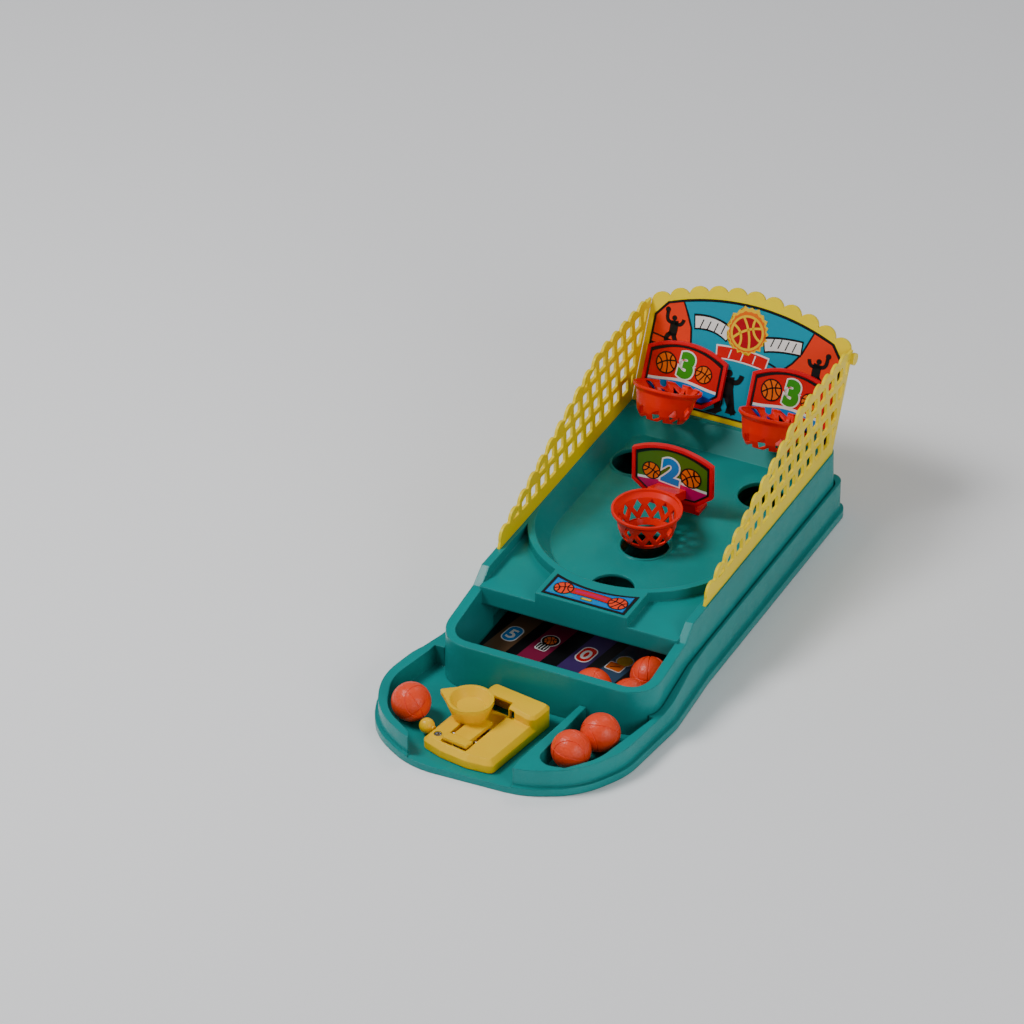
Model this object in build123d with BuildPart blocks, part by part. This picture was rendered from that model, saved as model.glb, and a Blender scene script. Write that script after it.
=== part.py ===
"""Tabletop basketball game: moulded base with ball trays, a catapult launcher on a swivel,
a dished playfield with return holes, lattice fences, a leaning back panel and three hoops.

Frame: millimetres, +Z up, +Y away from the player, origin at the centre of the base underside.
"""

import math
import os

from build123d import *

os.makedirs("parts", exist_ok=True)

# ---------------------------------------------------------------- driving dimensions
BALL_R = 14.0
FLOOR = 5.0                    # top of the tray, dock and trough floor
SKIN = 2.2                     # usual moulded wall
GAP = 0.3                      # clearance between shells
SEAM = 30.0                    # top of the lower shell
TRAY_TOP = 20.0
DECK_TOP = 57.6
TROUGH_TOP = 40.5

FLANGE_H = 6.0
FLANGE_LIP = 2.5

TUB_HALF = 83.5                # upper shell at the floor
TUB_FRONT = -119.0
TUB_BACK = 205.5
TUB_TAPER = 1.4
TROUGH_HALF = 75.0
TROUGH_FRONT = -111.0
FASCIA_Y = -59.0
FASCIA_FOOT = 36.0
POCKET_TOP = 50.0

DISH_Y = 50.0                  # centre of the dish's round front
DISH_R_TOP = 78.0
DISH_R_FLOOR = 67.0
DISH_BACK_TOP = 191.0
DISH_BACK_FLOOR = 177.0
DISH_FLOOR = 43.0
LIP_R = 83.0

FENCE_X = 79.0                 # inner face of each fence
FENCE_T = 2.2
FENCE_TOP = 131.0
PITCH = 15.0                   # scallop and lattice pitch

LEAN = 25.4                    # lean of the back panel, degrees
PANEL_T = 2.5
PANEL_FOOT_Y = 195.8
CARD_T = 0.5
STICKER_T = 0.4
BOARD_HALF = 31.75
BOARD_T = 2.5
BOARD_X = 42.0
BOARD_S = 6.5                  # foot of the upper boards above the panel foot

RIM_R = 25.5
BASKET_FOOT_R = 14.6           # inside the foot
BASKET_DEPTH = 24.0
BASKET_WALL = 1.8

LAUNCH_X, LAUNCH_Y = -19.0, -163.0
AIM = -9.0                     # rest angle of the launcher about the swivel, degrees
HOUSING_FOOT = 5.6
HOUSING_TOP = 15.0
PIN_Y, PIN_Z = -18.0, 12.5     # lever pin in the launcher's own frame
CUP_X, CUP_Y = -16.0, 3.0
CUP_R = 16.5
CUP_STEM_R = 12.5
CUP_FOOT = 16.0
CUP_SEAT = 24.0                # bottom of the ball's seat
CUP_LIP = 3.0                  # height of the straight rim
CUP_RIM = 29.5

panel_plane = Plane(
    origin=(0, PANEL_FOOT_Y, DECK_TOP),
    x_dir=(1, 0, 0),
    z_dir=(0, -math.cos(math.radians(LEAN)), math.sin(math.radians(LEAN))),
)
launch_plane = Plane(
    origin=(LAUNCH_X, LAUNCH_Y, 0),
    x_dir=(math.cos(math.radians(AIM)), math.sin(math.radians(AIM)), 0),
    z_dir=(0, 0, 1),
)


def save(part, name):
    """Label a finished piece and write its STEP file."""
    part.label = name
    export_step(part, f"parts/{name}.step")


# ---------------------------------------------------------------- outlines
# Lower shell, from the right rear corner round the front to the left rear corner: a smaller
# right lobe, the shallow front of the launcher dock and a wide left lobe.
FOOTPRINT_EDGE = [
    (88.5, 212), (88.5, -30), (92, -90), (85, -155), (66, -190), (30, -208.5),
    (-55, -212), (-96, -187), (-111, -148), (-104, -110), (-88.5, -78), (-88.5, 212),
]
# Inner edge of the left tray, which runs into the launcher dock; the dock is open at the front.
DOCK_EDGE = [
    (22, -230), (22, -195), (32, -112), (28, -100), (-91, -100), (-101, -147), (-87.5, -182),
    (-60, -200), (-52, -230),
]
RIGHT_TRAY_EDGE = [(31, -195), (54, -190), (70, -170), (83, -110), (40, -104), (36, -119)]
OUTER_R, TRAY_R, INNER_R = 62.0, 40.0, 11.0


def footprint(inset):
    """Plan of the lower shell, pulled in by inset."""
    with BuildSketch() as plan:
        with BuildLine():
            Polyline(*FOOTPRINT_EDGE, close=True)
        make_face()
        fillet(plan.vertices().group_by(Axis.Y)[-1], 12)
        fillet(plan.vertices().filter_by(lambda v: v.Y < 0), OUTER_R)
        if inset:
            offset(amount=-inset, mode=Mode.REPLACE)
    return plan.sketch


def tub_plan(half, front, back, front_r, back_r):
    """Plan of the upper shell: a long rectangle with round corners."""
    with BuildSketch() as plan:
        with Locations((0, (front + back) / 2)):
            Rectangle(2 * half, back - front)
        fillet(plan.vertices().group_by(Axis.Y)[0], front_r)
        fillet(plan.vertices().group_by(Axis.Y)[-1], back_r)
    return plan.sketch


def tray_plan(points, round_from):
    """Face inside a tray's outline: its outer corners, beyond round_from, are well rounded."""
    with BuildSketch() as plan:
        with BuildLine():
            Polyline(*points, close=True)
        make_face()
        outer = plan.vertices().filter_by(lambda v: abs(v.X) > round_from and v.Y < -120)
        fillet(outer, TRAY_R)
        fillet(plan.vertices().filter_by(lambda v: v.Y < -194), INNER_R)
    return plan.sketch


def closed_outline(points, radius):
    """Face inside a closed outline with rounded corners."""
    with BuildSketch() as plan:
        with BuildLine():
            Polyline(*points, close=True)
        make_face()
        fillet(plan.vertices(), radius)
    return plan.sketch


def dish_plan(radius, back):
    """U-shaped plan of the dish: round in front, square behind."""
    with BuildSketch() as plan:
        with BuildLine():
            ThreePointArc((-radius, DISH_Y), (0, DISH_Y - radius), (radius, DISH_Y))
            FilletPolyline(
                (radius, DISH_Y), (radius, back), (-radius, back), (-radius, DISH_Y), radius=10
            )
        make_face()
    return plan.sketch


# ---------------------------------------------------------------- lower shell
COVER_T = 1.8
COVER_INSET = 4.5
COVER_SCREWS = [(-70, 195), (70, 195), (-74, 20), (74, 20), (-84, -120), (78, -120)]
SWIVEL_PIN_R = 3.0
COLLAR_TOP = 6.0
SWIVEL_TOP = 8.0

with BuildPart() as base_shell:
    with BuildSketch():
        add(footprint(0))
    extrude(amount=FLANGE_H)
    with BuildSketch():
        add(footprint(FLANGE_LIP))
    extrude(amount=SEAM)
    # The side walls step down from the seam to the tray rim.
    with BuildSketch(Plane.YZ):
        Polygon((-230, TRAY_TOP), (-104, TRAY_TOP), (-56, SEAM), (-56, 40), (-230, 40), align=None)
    extrude(amount=130, both=True, mode=Mode.SUBTRACT)
    with BuildSketch(Plane.XY.offset(FLOOR)):
        add(tub_plan(TUB_HALF + GAP, TUB_FRONT - GAP, TUB_BACK + GAP, 25, 12))
        add(tray_plan(DOCK_EDGE, 80))
        add(tray_plan(RIGHT_TRAY_EDGE, 65))
    extrude(amount=60, mode=Mode.SUBTRACT)
    # Recess for the bottom cover.
    with BuildSketch():
        add(footprint(COVER_INSET))
    extrude(amount=FLOOR - 2, mode=Mode.SUBTRACT)
    # Swivel boss for the launcher, with its screw hole.
    with BuildSketch(Plane.XY.offset(FLOOR - 2)):
        with Locations((LAUNCH_X, LAUNCH_Y)):
            Circle(7)
    extrude(amount=COLLAR_TOP - FLOOR + 2)
    with BuildSketch(Plane.XY.offset(FLOOR)):
        with Locations((LAUNCH_X, LAUNCH_Y)):
            Circle(SWIVEL_PIN_R)
    extrude(amount=SWIVEL_TOP - FLOOR)
    with BuildSketch(Plane.XY.offset(SWIVEL_TOP)):
        with Locations((LAUNCH_X, LAUNCH_Y)):
            Circle(1.2)
    extrude(amount=-4, mode=Mode.SUBTRACT)
    # Screw posts that carry the bottom cover.
    with BuildSketch(Plane.XY.offset(COVER_T)):
        with Locations(*COVER_SCREWS):
            Circle(4)
            Circle(1.2, mode=Mode.SUBTRACT)
    extrude(amount=FLOOR - 2 - COVER_T)
save(base_shell.part, "base_shell")

with BuildPart() as bottom_cover:
    with BuildSketch():
        add(footprint(COVER_INSET + GAP))
        with Locations(*COVER_SCREWS):
            Circle(1.7, mode=Mode.SUBTRACT)
    extrude(amount=COVER_T)
save(bottom_cover.part, "bottom_cover")

with BuildPart() as cover_screws:
    with BuildSketch(Plane.XY.offset(0.2)):
        with Locations(*COVER_SCREWS):
            Circle(1.6)
    extrude(amount=1.0)
    with BuildSketch(Plane.XY.offset(1.2)):
        with Locations(*COVER_SCREWS):
            Circle(1.2)
    extrude(amount=1.8)
save(cover_screws.part, "cover_screws")

# ---------------------------------------------------------------- upper shell with the dish
BLOCK = (-33, 38)              # left and right sides of the raised label block
HOLES = [(2, 47, 17.5), (3, -9.5, 16), (-50, 141, 17), (50, 141, 17)]   # x, y, radius
FLAT_FROM = 0.0
RING_W, RING_H = 1.6, 0.9
RAIL_SLOPE = [(-140, TROUGH_TOP), (-108, TROUGH_TOP), (-57, 48), (-44, DECK_TOP)]
TUB_INNER = TUB_HALF - SKIN - 1.3
TUB_INNER_BACK = TUB_BACK - SKIN - 1.3
FENCE_TABS = [15, 85, 155]     # where the fence tabs enter the rails
TAB_L, TAB_DEPTH = 10.0, 4.0

with BuildPart() as playfield_deck:
    with BuildSketch(Plane.XY.offset(FLOOR)):
        add(tub_plan(TUB_HALF, TUB_FRONT, TUB_BACK, 25, 12))
    extrude(amount=DECK_TOP - FLOOR, taper=TUB_TAPER)
    # The side rails come down in front to the trough rim.
    with BuildSketch(Plane.YZ):
        Polygon(*RAIL_SLOPE, (-44, 70), (-140, 70), align=None)
    extrude(amount=100, both=True, mode=Mode.SUBTRACT)
    # Front slab between the rails, with the raised label block in its middle.
    with BuildSketch(Plane.XY.offset(FASCIA_FOOT)):
        with Locations((0, FASCIA_Y)):
            Rectangle(2 * TROUGH_HALF + 3, 30, align=(Align.CENTER, Align.MIN))
    extrude(amount=POCKET_TOP - FASCIA_FOOT)
    with BuildSketch(Plane.XY.offset(FASCIA_FOOT)):
        with Locations((BLOCK[0], FASCIA_Y)):
            Rectangle(BLOCK[1] - BLOCK[0], 40, align=(Align.MIN, Align.MIN))
    extrude(amount=DECK_TOP - FASCIA_FOOT)
    # Sunken pockets either side of the block, outside the dish's raised lip.
    with BuildSketch(Plane.XY.offset(POCKET_TOP)):
        with Locations((0, FASCIA_Y - 1)):
            Rectangle(2 * (TROUGH_HALF + 1), 90, align=(Align.CENTER, Align.MIN))
        with Locations((0, DISH_Y)):
            Circle(LIP_R, mode=Mode.SUBTRACT)
        with Locations((BLOCK[0], FASCIA_Y - 2)):
            Rectangle(BLOCK[1] - BLOCK[0], 60, align=(Align.MIN, Align.MIN), mode=Mode.SUBTRACT)
    extrude(amount=20, mode=Mode.SUBTRACT)
    # Trough, open above, with a double wall round it that is hollow from below.
    with BuildSketch(Plane.XY.offset(FLOOR)) as trough:
        with Locations((0, TROUGH_FRONT)):
            Rectangle(2 * TROUGH_HALF, FASCIA_Y - TROUGH_FRONT, align=(Align.CENTER, Align.MIN))
        fillet(trough.vertices().group_by(Axis.Y)[0], 15)
    extrude(amount=60, mode=Mode.SUBTRACT)
    # Return way under the deck, hollow behind the fascia and up to the pockets.
    with BuildSketch(Plane.XY.offset(FLOOR)):
        with Locations((0, FASCIA_Y - 1)):
            Rectangle(2 * TROUGH_HALF, 40, align=(Align.CENTER, Align.MIN))
    extrude(amount=FASCIA_FOOT - FLOOR, mode=Mode.SUBTRACT)
    with BuildSketch(Plane.XY.offset(FLOOR)):
        with Locations((0, FASCIA_Y + SKIN)):
            Rectangle(2 * (TROUGH_HALF - SKIN), 30, align=(Align.CENTER, Align.MIN))
        add(tub_plan(TUB_INNER, -40, TUB_INNER_BACK, 2, 9))
    extrude(amount=POCKET_TOP - SKIN - FLOOR, mode=Mode.SUBTRACT)
    # Higher hollow under the block, the lip and the rails.
    with BuildSketch(Plane.XY.offset(POCKET_TOP - SKIN - 1)):
        with Locations((BLOCK[0] + SKIN, FASCIA_Y + SKIN)):
            Rectangle(BLOCK[1] - BLOCK[0] - 2 * SKIN, 40, align=(Align.MIN, Align.MIN))
        add(tub_plan(TUB_INNER, DISH_Y, TUB_INNER_BACK, 2, 9))
        with Locations((0, DISH_Y)):
            Circle(TUB_INNER)
    extrude(amount=DECK_TOP - POCKET_TOP + 1, mode=Mode.SUBTRACT)
    # The dish: its underside first, then the bowl cut into it.
    with BuildSketch(Plane.XY.offset(DISH_FLOOR - SKIN)):
        add(dish_plan(DISH_R_FLOOR + SKIN, DISH_BACK_FLOOR + SKIN))
    with BuildSketch(Plane.XY.offset(DECK_TOP)):
        add(dish_plan(DISH_R_TOP + SKIN, DISH_BACK_TOP + SKIN))
    loft(ruled=True)
    with BuildSketch(Plane.XY.offset(DISH_FLOOR)):
        add(dish_plan(DISH_R_FLOOR, DISH_BACK_FLOOR))
    with BuildSketch(Plane.XY.offset(DECK_TOP)):
        add(dish_plan(DISH_R_TOP, DISH_BACK_TOP))
    loft(ruled=True, mode=Mode.SUBTRACT)
    # Return holes, each with a raised ring where it opens in the flat floor.
    for x, y, radius in HOLES:
        if y > FLAT_FROM:
            with BuildSketch(Plane.XY.offset(DISH_FLOOR)):
                with Locations((x, y)):
                    Circle(radius + RING_W)
            extrude(amount=RING_H)
        with BuildSketch(Plane.XY.offset(DISH_FLOOR)):
            with Locations((x, y)):
                Circle(radius)
        extrude(amount=6, both=True, mode=Mode.SUBTRACT)
    # Slots in the rails for the fence tabs.
    with BuildSketch(Plane.XY.offset(DECK_TOP)):
        with Locations(*[(side * (FENCE_X + FENCE_T / 2), y) for side in (-1, 1) for y in FENCE_TABS]):
            Rectangle(FENCE_T, TAB_L)
    extrude(amount=-TAB_DEPTH, mode=Mode.SUBTRACT)
save(playfield_deck.part, "playfield_deck")

RAMP_FOOT, RAMP_HEAD = -10.0, 192.0
RIB_X = [-26.0, 26.0]
with BuildPart() as return_ramp:
    with BuildSketch(Plane.YZ):
        Polygon((RAMP_FOOT, FLOOR), (RAMP_HEAD, FLOOR), (RAMP_HEAD, 9.5), (RAMP_FOOT, 6), align=None)
    extrude(amount=TUB_INNER - 1, both=True)
    with BuildSketch(Plane.XY.offset(FLOOR)):
        with Locations(*[(x, (RAMP_FOOT + RAMP_HEAD) / 2) for x in RIB_X]):
            Rectangle(2, RAMP_HEAD - RAMP_FOOT - 20)
    extrude(amount=10)
save(return_ramp.part, "return_ramp")

with BuildPart() as score_label:
    with BuildSketch(Plane.XY.offset(FLOOR)) as label:
        with Locations((0, TROUGH_FRONT + 1)):
            Rectangle(2 * TROUGH_HALF - 3, RAMP_FOOT - TROUGH_FRONT - 2, align=(Align.CENTER, Align.MIN))
        fillet(label.vertices().group_by(Axis.Y)[0], 14)
    extrude(amount=STICKER_T)
save(score_label.part, "score_label")

with BuildPart() as deck_label:
    with BuildSketch(Plane.XY.offset(DECK_TOP)):
        with BuildLine():
            arc = RadiusArc((-29, -31), (35, -32), -LIP_R - 1)
            Polyline(arc @ 1, (34.5, -56.5), (-29.5, -56.5), arc @ 0)
        make_face()
    extrude(amount=STICKER_T)
save(deck_label.part, "deck_label")

# ---------------------------------------------------------------- fences
FENCE_TIP, FENCE_RISE = -18.0, 142.0      # where the sloping top starts and ends
LOW_EDGE = 70.0
HOLE_W, HOLE_H = 10.2, 10.0
ROW_FOOT, ROW_PITCH, ROW_SHIFT = 74.0, 14.5, 3.0
HOLE_MARGIN = 6.5              # solid band along the sloping top
SMALLEST_HOLE = 14.0           # square millimetres
FENCE_FOOT_BACK = 195.0


def fence_top(y):
    """Height of the scallop peaks above a point along the fence."""
    if y >= FENCE_RISE:
        return FENCE_TOP
    return LOW_EDGE + (FENCE_TOP - LOW_EDGE) * (y - FENCE_TIP) / (FENCE_RISE - FENCE_TIP)


def back_at(z):
    """Place of the fence's leaning rear edge at a height."""
    return FENCE_FOOT_BACK + (z - DECK_TOP) * math.tan(math.radians(LEAN))


def lattice_holes(plane):
    """Windows of a fence, cut short along its sloping top and its rear edge."""
    with BuildSketch(plane) as grid:
        for row in range(5):
            for column in range(16):
                y = 4 - ROW_SHIFT * row + PITCH * column
                with Locations((y, ROW_FOOT + ROW_PITCH * row)):
                    RectangleRounded(HOLE_W, HOLE_H, 1.2)
        Polygon(
            (FENCE_TIP, DECK_TOP), (back_at(DECK_TOP) - 7, DECK_TOP),
            (back_at(FENCE_TOP) - 7, FENCE_TOP - HOLE_MARGIN), (FENCE_RISE, FENCE_TOP - HOLE_MARGIN),
            (FENCE_TIP, LOW_EDGE - HOLE_MARGIN), align=None, mode=Mode.INTERSECT,
        )
    return [window for window in grid.sketch.faces() if window.area > SMALLEST_HOLE]


def fence(side):
    """One lattice fence, with its tabs."""
    plane = Plane.YZ.offset(FENCE_X if side > 0 else -FENCE_X - FENCE_T)
    with BuildPart() as sheet:
        with BuildSketch(plane):
            Polygon(
                (FENCE_TIP - 4, DECK_TOP), (FENCE_FOOT_BACK, DECK_TOP),
                (back_at(FENCE_TOP - 4), FENCE_TOP - 4), (FENCE_RISE, FENCE_TOP - 4),
                (FENCE_TIP, LOW_EDGE - 4), align=None,
            )
            y = FENCE_TIP + 6
            while y < back_at(FENCE_TOP) - 6:
                with Locations((y, fence_top(y) - 8)):
                    Circle(8)
                y += PITCH
        extrude(amount=FENCE_T)
        extrude(lattice_holes(plane), amount=FENCE_T, mode=Mode.SUBTRACT)
        split(bisect_by=Plane.XY.offset(DECK_TOP), keep=Keep.TOP)
        with BuildSketch(plane):
            with Locations(*[(y, DECK_TOP) for y in FENCE_TABS]):
                Rectangle(TAB_L, TAB_DEPTH, align=(Align.CENTER, Align.MAX))
        extrude(amount=FENCE_T)
    return sheet.part


save(fence(-1), "left_fence")
save(fence(1), "right_fence")

# ---------------------------------------------------------------- back panel and its card
PANEL_HALF = FENCE_X
PANEL_FLAT = -PANEL_T          # the panel lies behind its plane
CARD_HALF, CARD_SIDE, CARD_SHOULDER, CARD_TOP = 74.5, 66.0, 77.0, 89.5


def panel_peak(x):
    """Height of the scallop peaks above the panel foot."""
    return 100 - 0.00337 * x * x


with BuildPart() as back_panel:
    with BuildSketch(panel_plane.offset(PANEL_FLAT)):
        with BuildLine():
            arc = ThreePointArc((-PANEL_HALF, 73), (0, 94), (PANEL_HALF, 73))
            Polyline(arc @ 1, (PANEL_HALF, -4), (-PANEL_HALF, -4), arc @ 0)
        make_face()
        with Locations(*[(i * 14.4, panel_peak(i * 14.4) - 8) for i in range(-4, 5)]):
            Circle(8)
        with Locations((-71, panel_peak(71) - 8), (71, panel_peak(71) - 8)):
            Circle(8)
    extrude(amount=PANEL_T)
    split(bisect_by=Plane.XY.offset(DECK_TOP), keep=Keep.TOP)
save(back_panel.part, "back_panel")

with BuildPart() as backdrop_card:
    with BuildSketch(panel_plane):
        with BuildLine():
            top = ThreePointArc((-66, CARD_SHOULDER), (0, CARD_TOP), (66, CARD_SHOULDER))
            Polyline(top @ 1, (CARD_HALF, CARD_SIDE), (CARD_HALF, 4), (-CARD_HALF, 4),
                     (-CARD_HALF, CARD_SIDE), top @ 0)
        make_face()
    extrude(amount=CARD_T)
save(backdrop_card.part, "backdrop_card")

with BuildPart() as corner_pins:
    for side in (-1, 1):
        y = PANEL_FOOT_Y + 70 * math.sin(math.radians(LEAN)) + 1.2
        z = DECK_TOP + 70 * math.cos(math.radians(LEAN)) - 0.6
        outer = (side * (FENCE_X + FENCE_T), y, z)
        with BuildSketch(Plane(origin=outer, x_dir=(0, 1, 0), z_dir=(side, 0, 0))):
            Circle(4.5)
        extrude(amount=2.5)
save(corner_pins.part, "corner_pins")


# ---------------------------------------------------------------- backboards
def board_outline(inset=0.0):
    """Backboard seen from the front, its foot at the origin."""
    with BuildSketch() as plan:
        with BuildLine():
            arch = ThreePointArc((-BOARD_HALF, 36.7), (0, 45.2), (BOARD_HALF, 36.7))
            Polyline(arch @ 1, (BOARD_HALF, 10), (19, 0), (-19, 0), (-BOARD_HALF, 10), arch @ 0)
        make_face()
        if inset:
            offset(amount=-inset, mode=Mode.REPLACE)
    return plan.sketch


def backboard(plane):
    """Moulded backboard whose back lies on the plane, with a raised frame round its face."""
    with BuildPart() as board:
        with BuildSketch(plane):
            add(board_outline())
        extrude(amount=BOARD_T)
        with BuildSketch(plane.offset(BOARD_T)):
            add(board_outline())
            add(board_outline(2.5), mode=Mode.SUBTRACT)
        extrude(amount=0.8)
    return board.part


def board_sticker(plane):
    """Thin sticker inside a backboard's frame."""
    with BuildPart() as sticker:
        with BuildSketch(plane.offset(BOARD_T)):
            add(board_outline(3))
        extrude(amount=STICKER_T)
    return sticker.part


def upper_board_plane(side):
    """Plane behind an upper backboard, on the card, with its origin at the board's foot."""
    s = panel_plane.y_dir * BOARD_S
    n = panel_plane.z_dir * CARD_T
    origin = panel_plane.origin + s + n + Vector(side * BOARD_X, 0, 0)
    return Plane(origin=origin, x_dir=(1, 0, 0), z_dir=panel_plane.z_dir)


MIDDLE_BOARD_Y = 99.0          # back face of the middle backboard
MIDDLE_BOARD_Z = 52.0
middle_plane = Plane(origin=(0, MIDDLE_BOARD_Y, MIDDLE_BOARD_Z), x_dir=(1, 0, 0), z_dir=(0, -1, 0))
BOARDS = {"left": upper_board_plane(-1), "right": upper_board_plane(1), "middle": middle_plane}
for name, plane in BOARDS.items():
    save(backboard(plane), f"{name}_backboard")
    save(board_sticker(plane), f"{name}_board_sticker")

with BuildPart() as middle_post:
    with BuildSketch(Plane.XY.offset(DISH_FLOOR)):
        with Locations((0, MIDDLE_BOARD_Y)):
            Rectangle(34, 3, align=(Align.CENTER, Align.MIN))
    extrude(amount=30)
    with BuildSketch(Plane.XY.offset(DISH_FLOOR)):
        with Locations((0, MIDDLE_BOARD_Y)):
            Rectangle(40, 14, align=(Align.CENTER, Align.MIN))
    extrude(amount=2.5)
    for x in (-12, 12):
        with BuildSketch(Plane.YZ.offset(x)):
            Polygon((MIDDLE_BOARD_Y + 3, DISH_FLOOR + 2.5), (MIDDLE_BOARD_Y + 12, DISH_FLOOR + 2.5),
                    (MIDDLE_BOARD_Y + 3, DISH_FLOOR + 26), align=None)
        extrude(amount=1, both=True)
save(middle_post.part, "middle_post")


# ---------------------------------------------------------------- baskets
# Outside of the funnel, radius and height: a flared lip, then a bowl that turns in at its foot.
FUNNEL = [
    (RIM_R, 0), (RIM_R, -1.8), (22.6, -4.8), (21.6, -9), (20.8, -14), (19.2, -19.5),
    (16.2, -BASKET_DEPTH),
]
NET_COLUMNS = 12
DIAMOND = [(-3.5, -10.8), (0, -5.6), (3.5, -10.8), (0, -16.0)]
TRIANGLE = [(-3.7, -20.2), (3.7, -20.2), (0, -13.4)]
ARM_HALF = 11.0
ARM_T = 7.0


def basket(plane, reach, drop):
    """Perforated funnel basket; plane at its rim's centre with z up its axis and y to the board.

    reach is the distance from the rim's centre to the face of the backboard's sticker, and drop
    is how far the arm slopes down on its way there.
    """
    inside = [(r - BASKET_WALL, z) for r, z in FUNNEL if z > -BASKET_DEPTH]
    with BuildPart() as funnel:
        # Arm from the rim to the backboard.
        with BuildSketch(Plane(origin=plane.origin, x_dir=plane.y_dir, z_dir=plane.x_dir)):
            Polygon(
                (RIM_R - 6, 0), (RIM_R, 0), (reach, -drop), (reach, -drop - ARM_T),
                (RIM_R - 6, -6), align=None,
            )
        extrude(amount=ARM_HALF, both=True)
        with BuildSketch(Plane(origin=plane.origin, x_dir=plane.x_dir, z_dir=-plane.y_dir)):
            Polygon((0, 0), *FUNNEL, (0, -BASKET_DEPTH), align=None)
        revolve(axis=Axis(plane.origin, plane.z_dir))
        with BuildSketch(Plane(origin=plane.origin, x_dir=plane.x_dir, z_dir=-plane.y_dir)):
            Polygon(
                (0, 1), (inside[0][0], 1), *inside, (BASKET_FOOT_R, -BASKET_DEPTH),
                (BASKET_FOOT_R, -BASKET_DEPTH - 1), (0, -BASKET_DEPTH - 1), align=None,
            )
        revolve(axis=Axis(plane.origin, plane.z_dir), mode=Mode.SUBTRACT)
        # Net pattern: a row of diamonds, then triangles between them.
        for i in range(2 * NET_COLUMNS):
            turn = plane.rotated((0, 0, 180 / NET_COLUMNS * i))
            wall = Plane(origin=turn.origin, x_dir=turn.y_dir, z_dir=turn.x_dir)
            rise = -1 if wall.y_dir.dot(plane.z_dir) < 0 else 1
            with BuildSketch(wall.offset(11)):
                outline = DIAMOND if i % 2 else TRIANGLE
                Polygon(*[(x, z * rise) for x, z in outline], align=None)
            extrude(amount=16, mode=Mode.SUBTRACT)
    return funnel.part


RIM_OUT = 30.0                 # rim centre in front of the panel plane
RIM_S = 21.0                   # rim centre above the panel foot


def upper_basket_plane(side):
    """Plane at an upper basket's rim centre, tilted with the back panel."""
    s = panel_plane.y_dir * RIM_S
    n = panel_plane.z_dir * RIM_OUT
    origin = panel_plane.origin + s + n + Vector(side * BOARD_X, 0, 0)
    return Plane(origin=origin, x_dir=(1, 0, 0), z_dir=panel_plane.y_dir)


UPPER_REACH = RIM_OUT - CARD_T - BOARD_T - STICKER_T
MIDDLE_RIM_Y, MIDDLE_RIM_Z = 54.0, 70.6
middle_rim = Plane(origin=(0, MIDDLE_RIM_Y, MIDDLE_RIM_Z))
UPPER_DROP, MIDDLE_DROP = 4.0, 7.0
save(basket(upper_basket_plane(-1), UPPER_REACH, UPPER_DROP), "left_basket")
save(basket(upper_basket_plane(1), UPPER_REACH, UPPER_DROP), "right_basket")
MIDDLE_REACH = MIDDLE_BOARD_Y - BOARD_T - STICKER_T - MIDDLE_RIM_Y
save(basket(middle_rim, MIDDLE_REACH, MIDDLE_DROP), "middle_basket")

# ---------------------------------------------------------------- launcher on its swivel
HOUSING_EDGE = [(-30, -35), (-12, -38.5), (10, -38.5), (28.5, -34), (28.5, 38), (-30, 38)]
CHANNEL = (-16.0, 5.5)         # left and right sides of the lever channel
CHANNEL_FRONT, CHANNEL_BACK = -33.0, 24.0
CHANNEL_FLOOR = 7.8
HOOD_EDGE = [(-3, 19), (28.5, 15), (28.5, 38), (-20, 38), (-20, 26)]
HOOD_TOP = 22.5
SIDE_WALL = 4.0
HOUSING_EDGE_CUT = 3.6         # chamfer round the top
PIN_R = 1.2
PIN_HALF = 14.2                # half length of the lever pin
SCREW_X, SCREW_Y = -22.0, -27.0
channel_mid = (CHANNEL[0] + CHANNEL[1]) / 2
pin_plane = Plane(
    origin=launch_plane.from_local_coords((channel_mid, PIN_Y, PIN_Z)),
    x_dir=launch_plane.y_dir,
    z_dir=launch_plane.x_dir,
)

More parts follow.
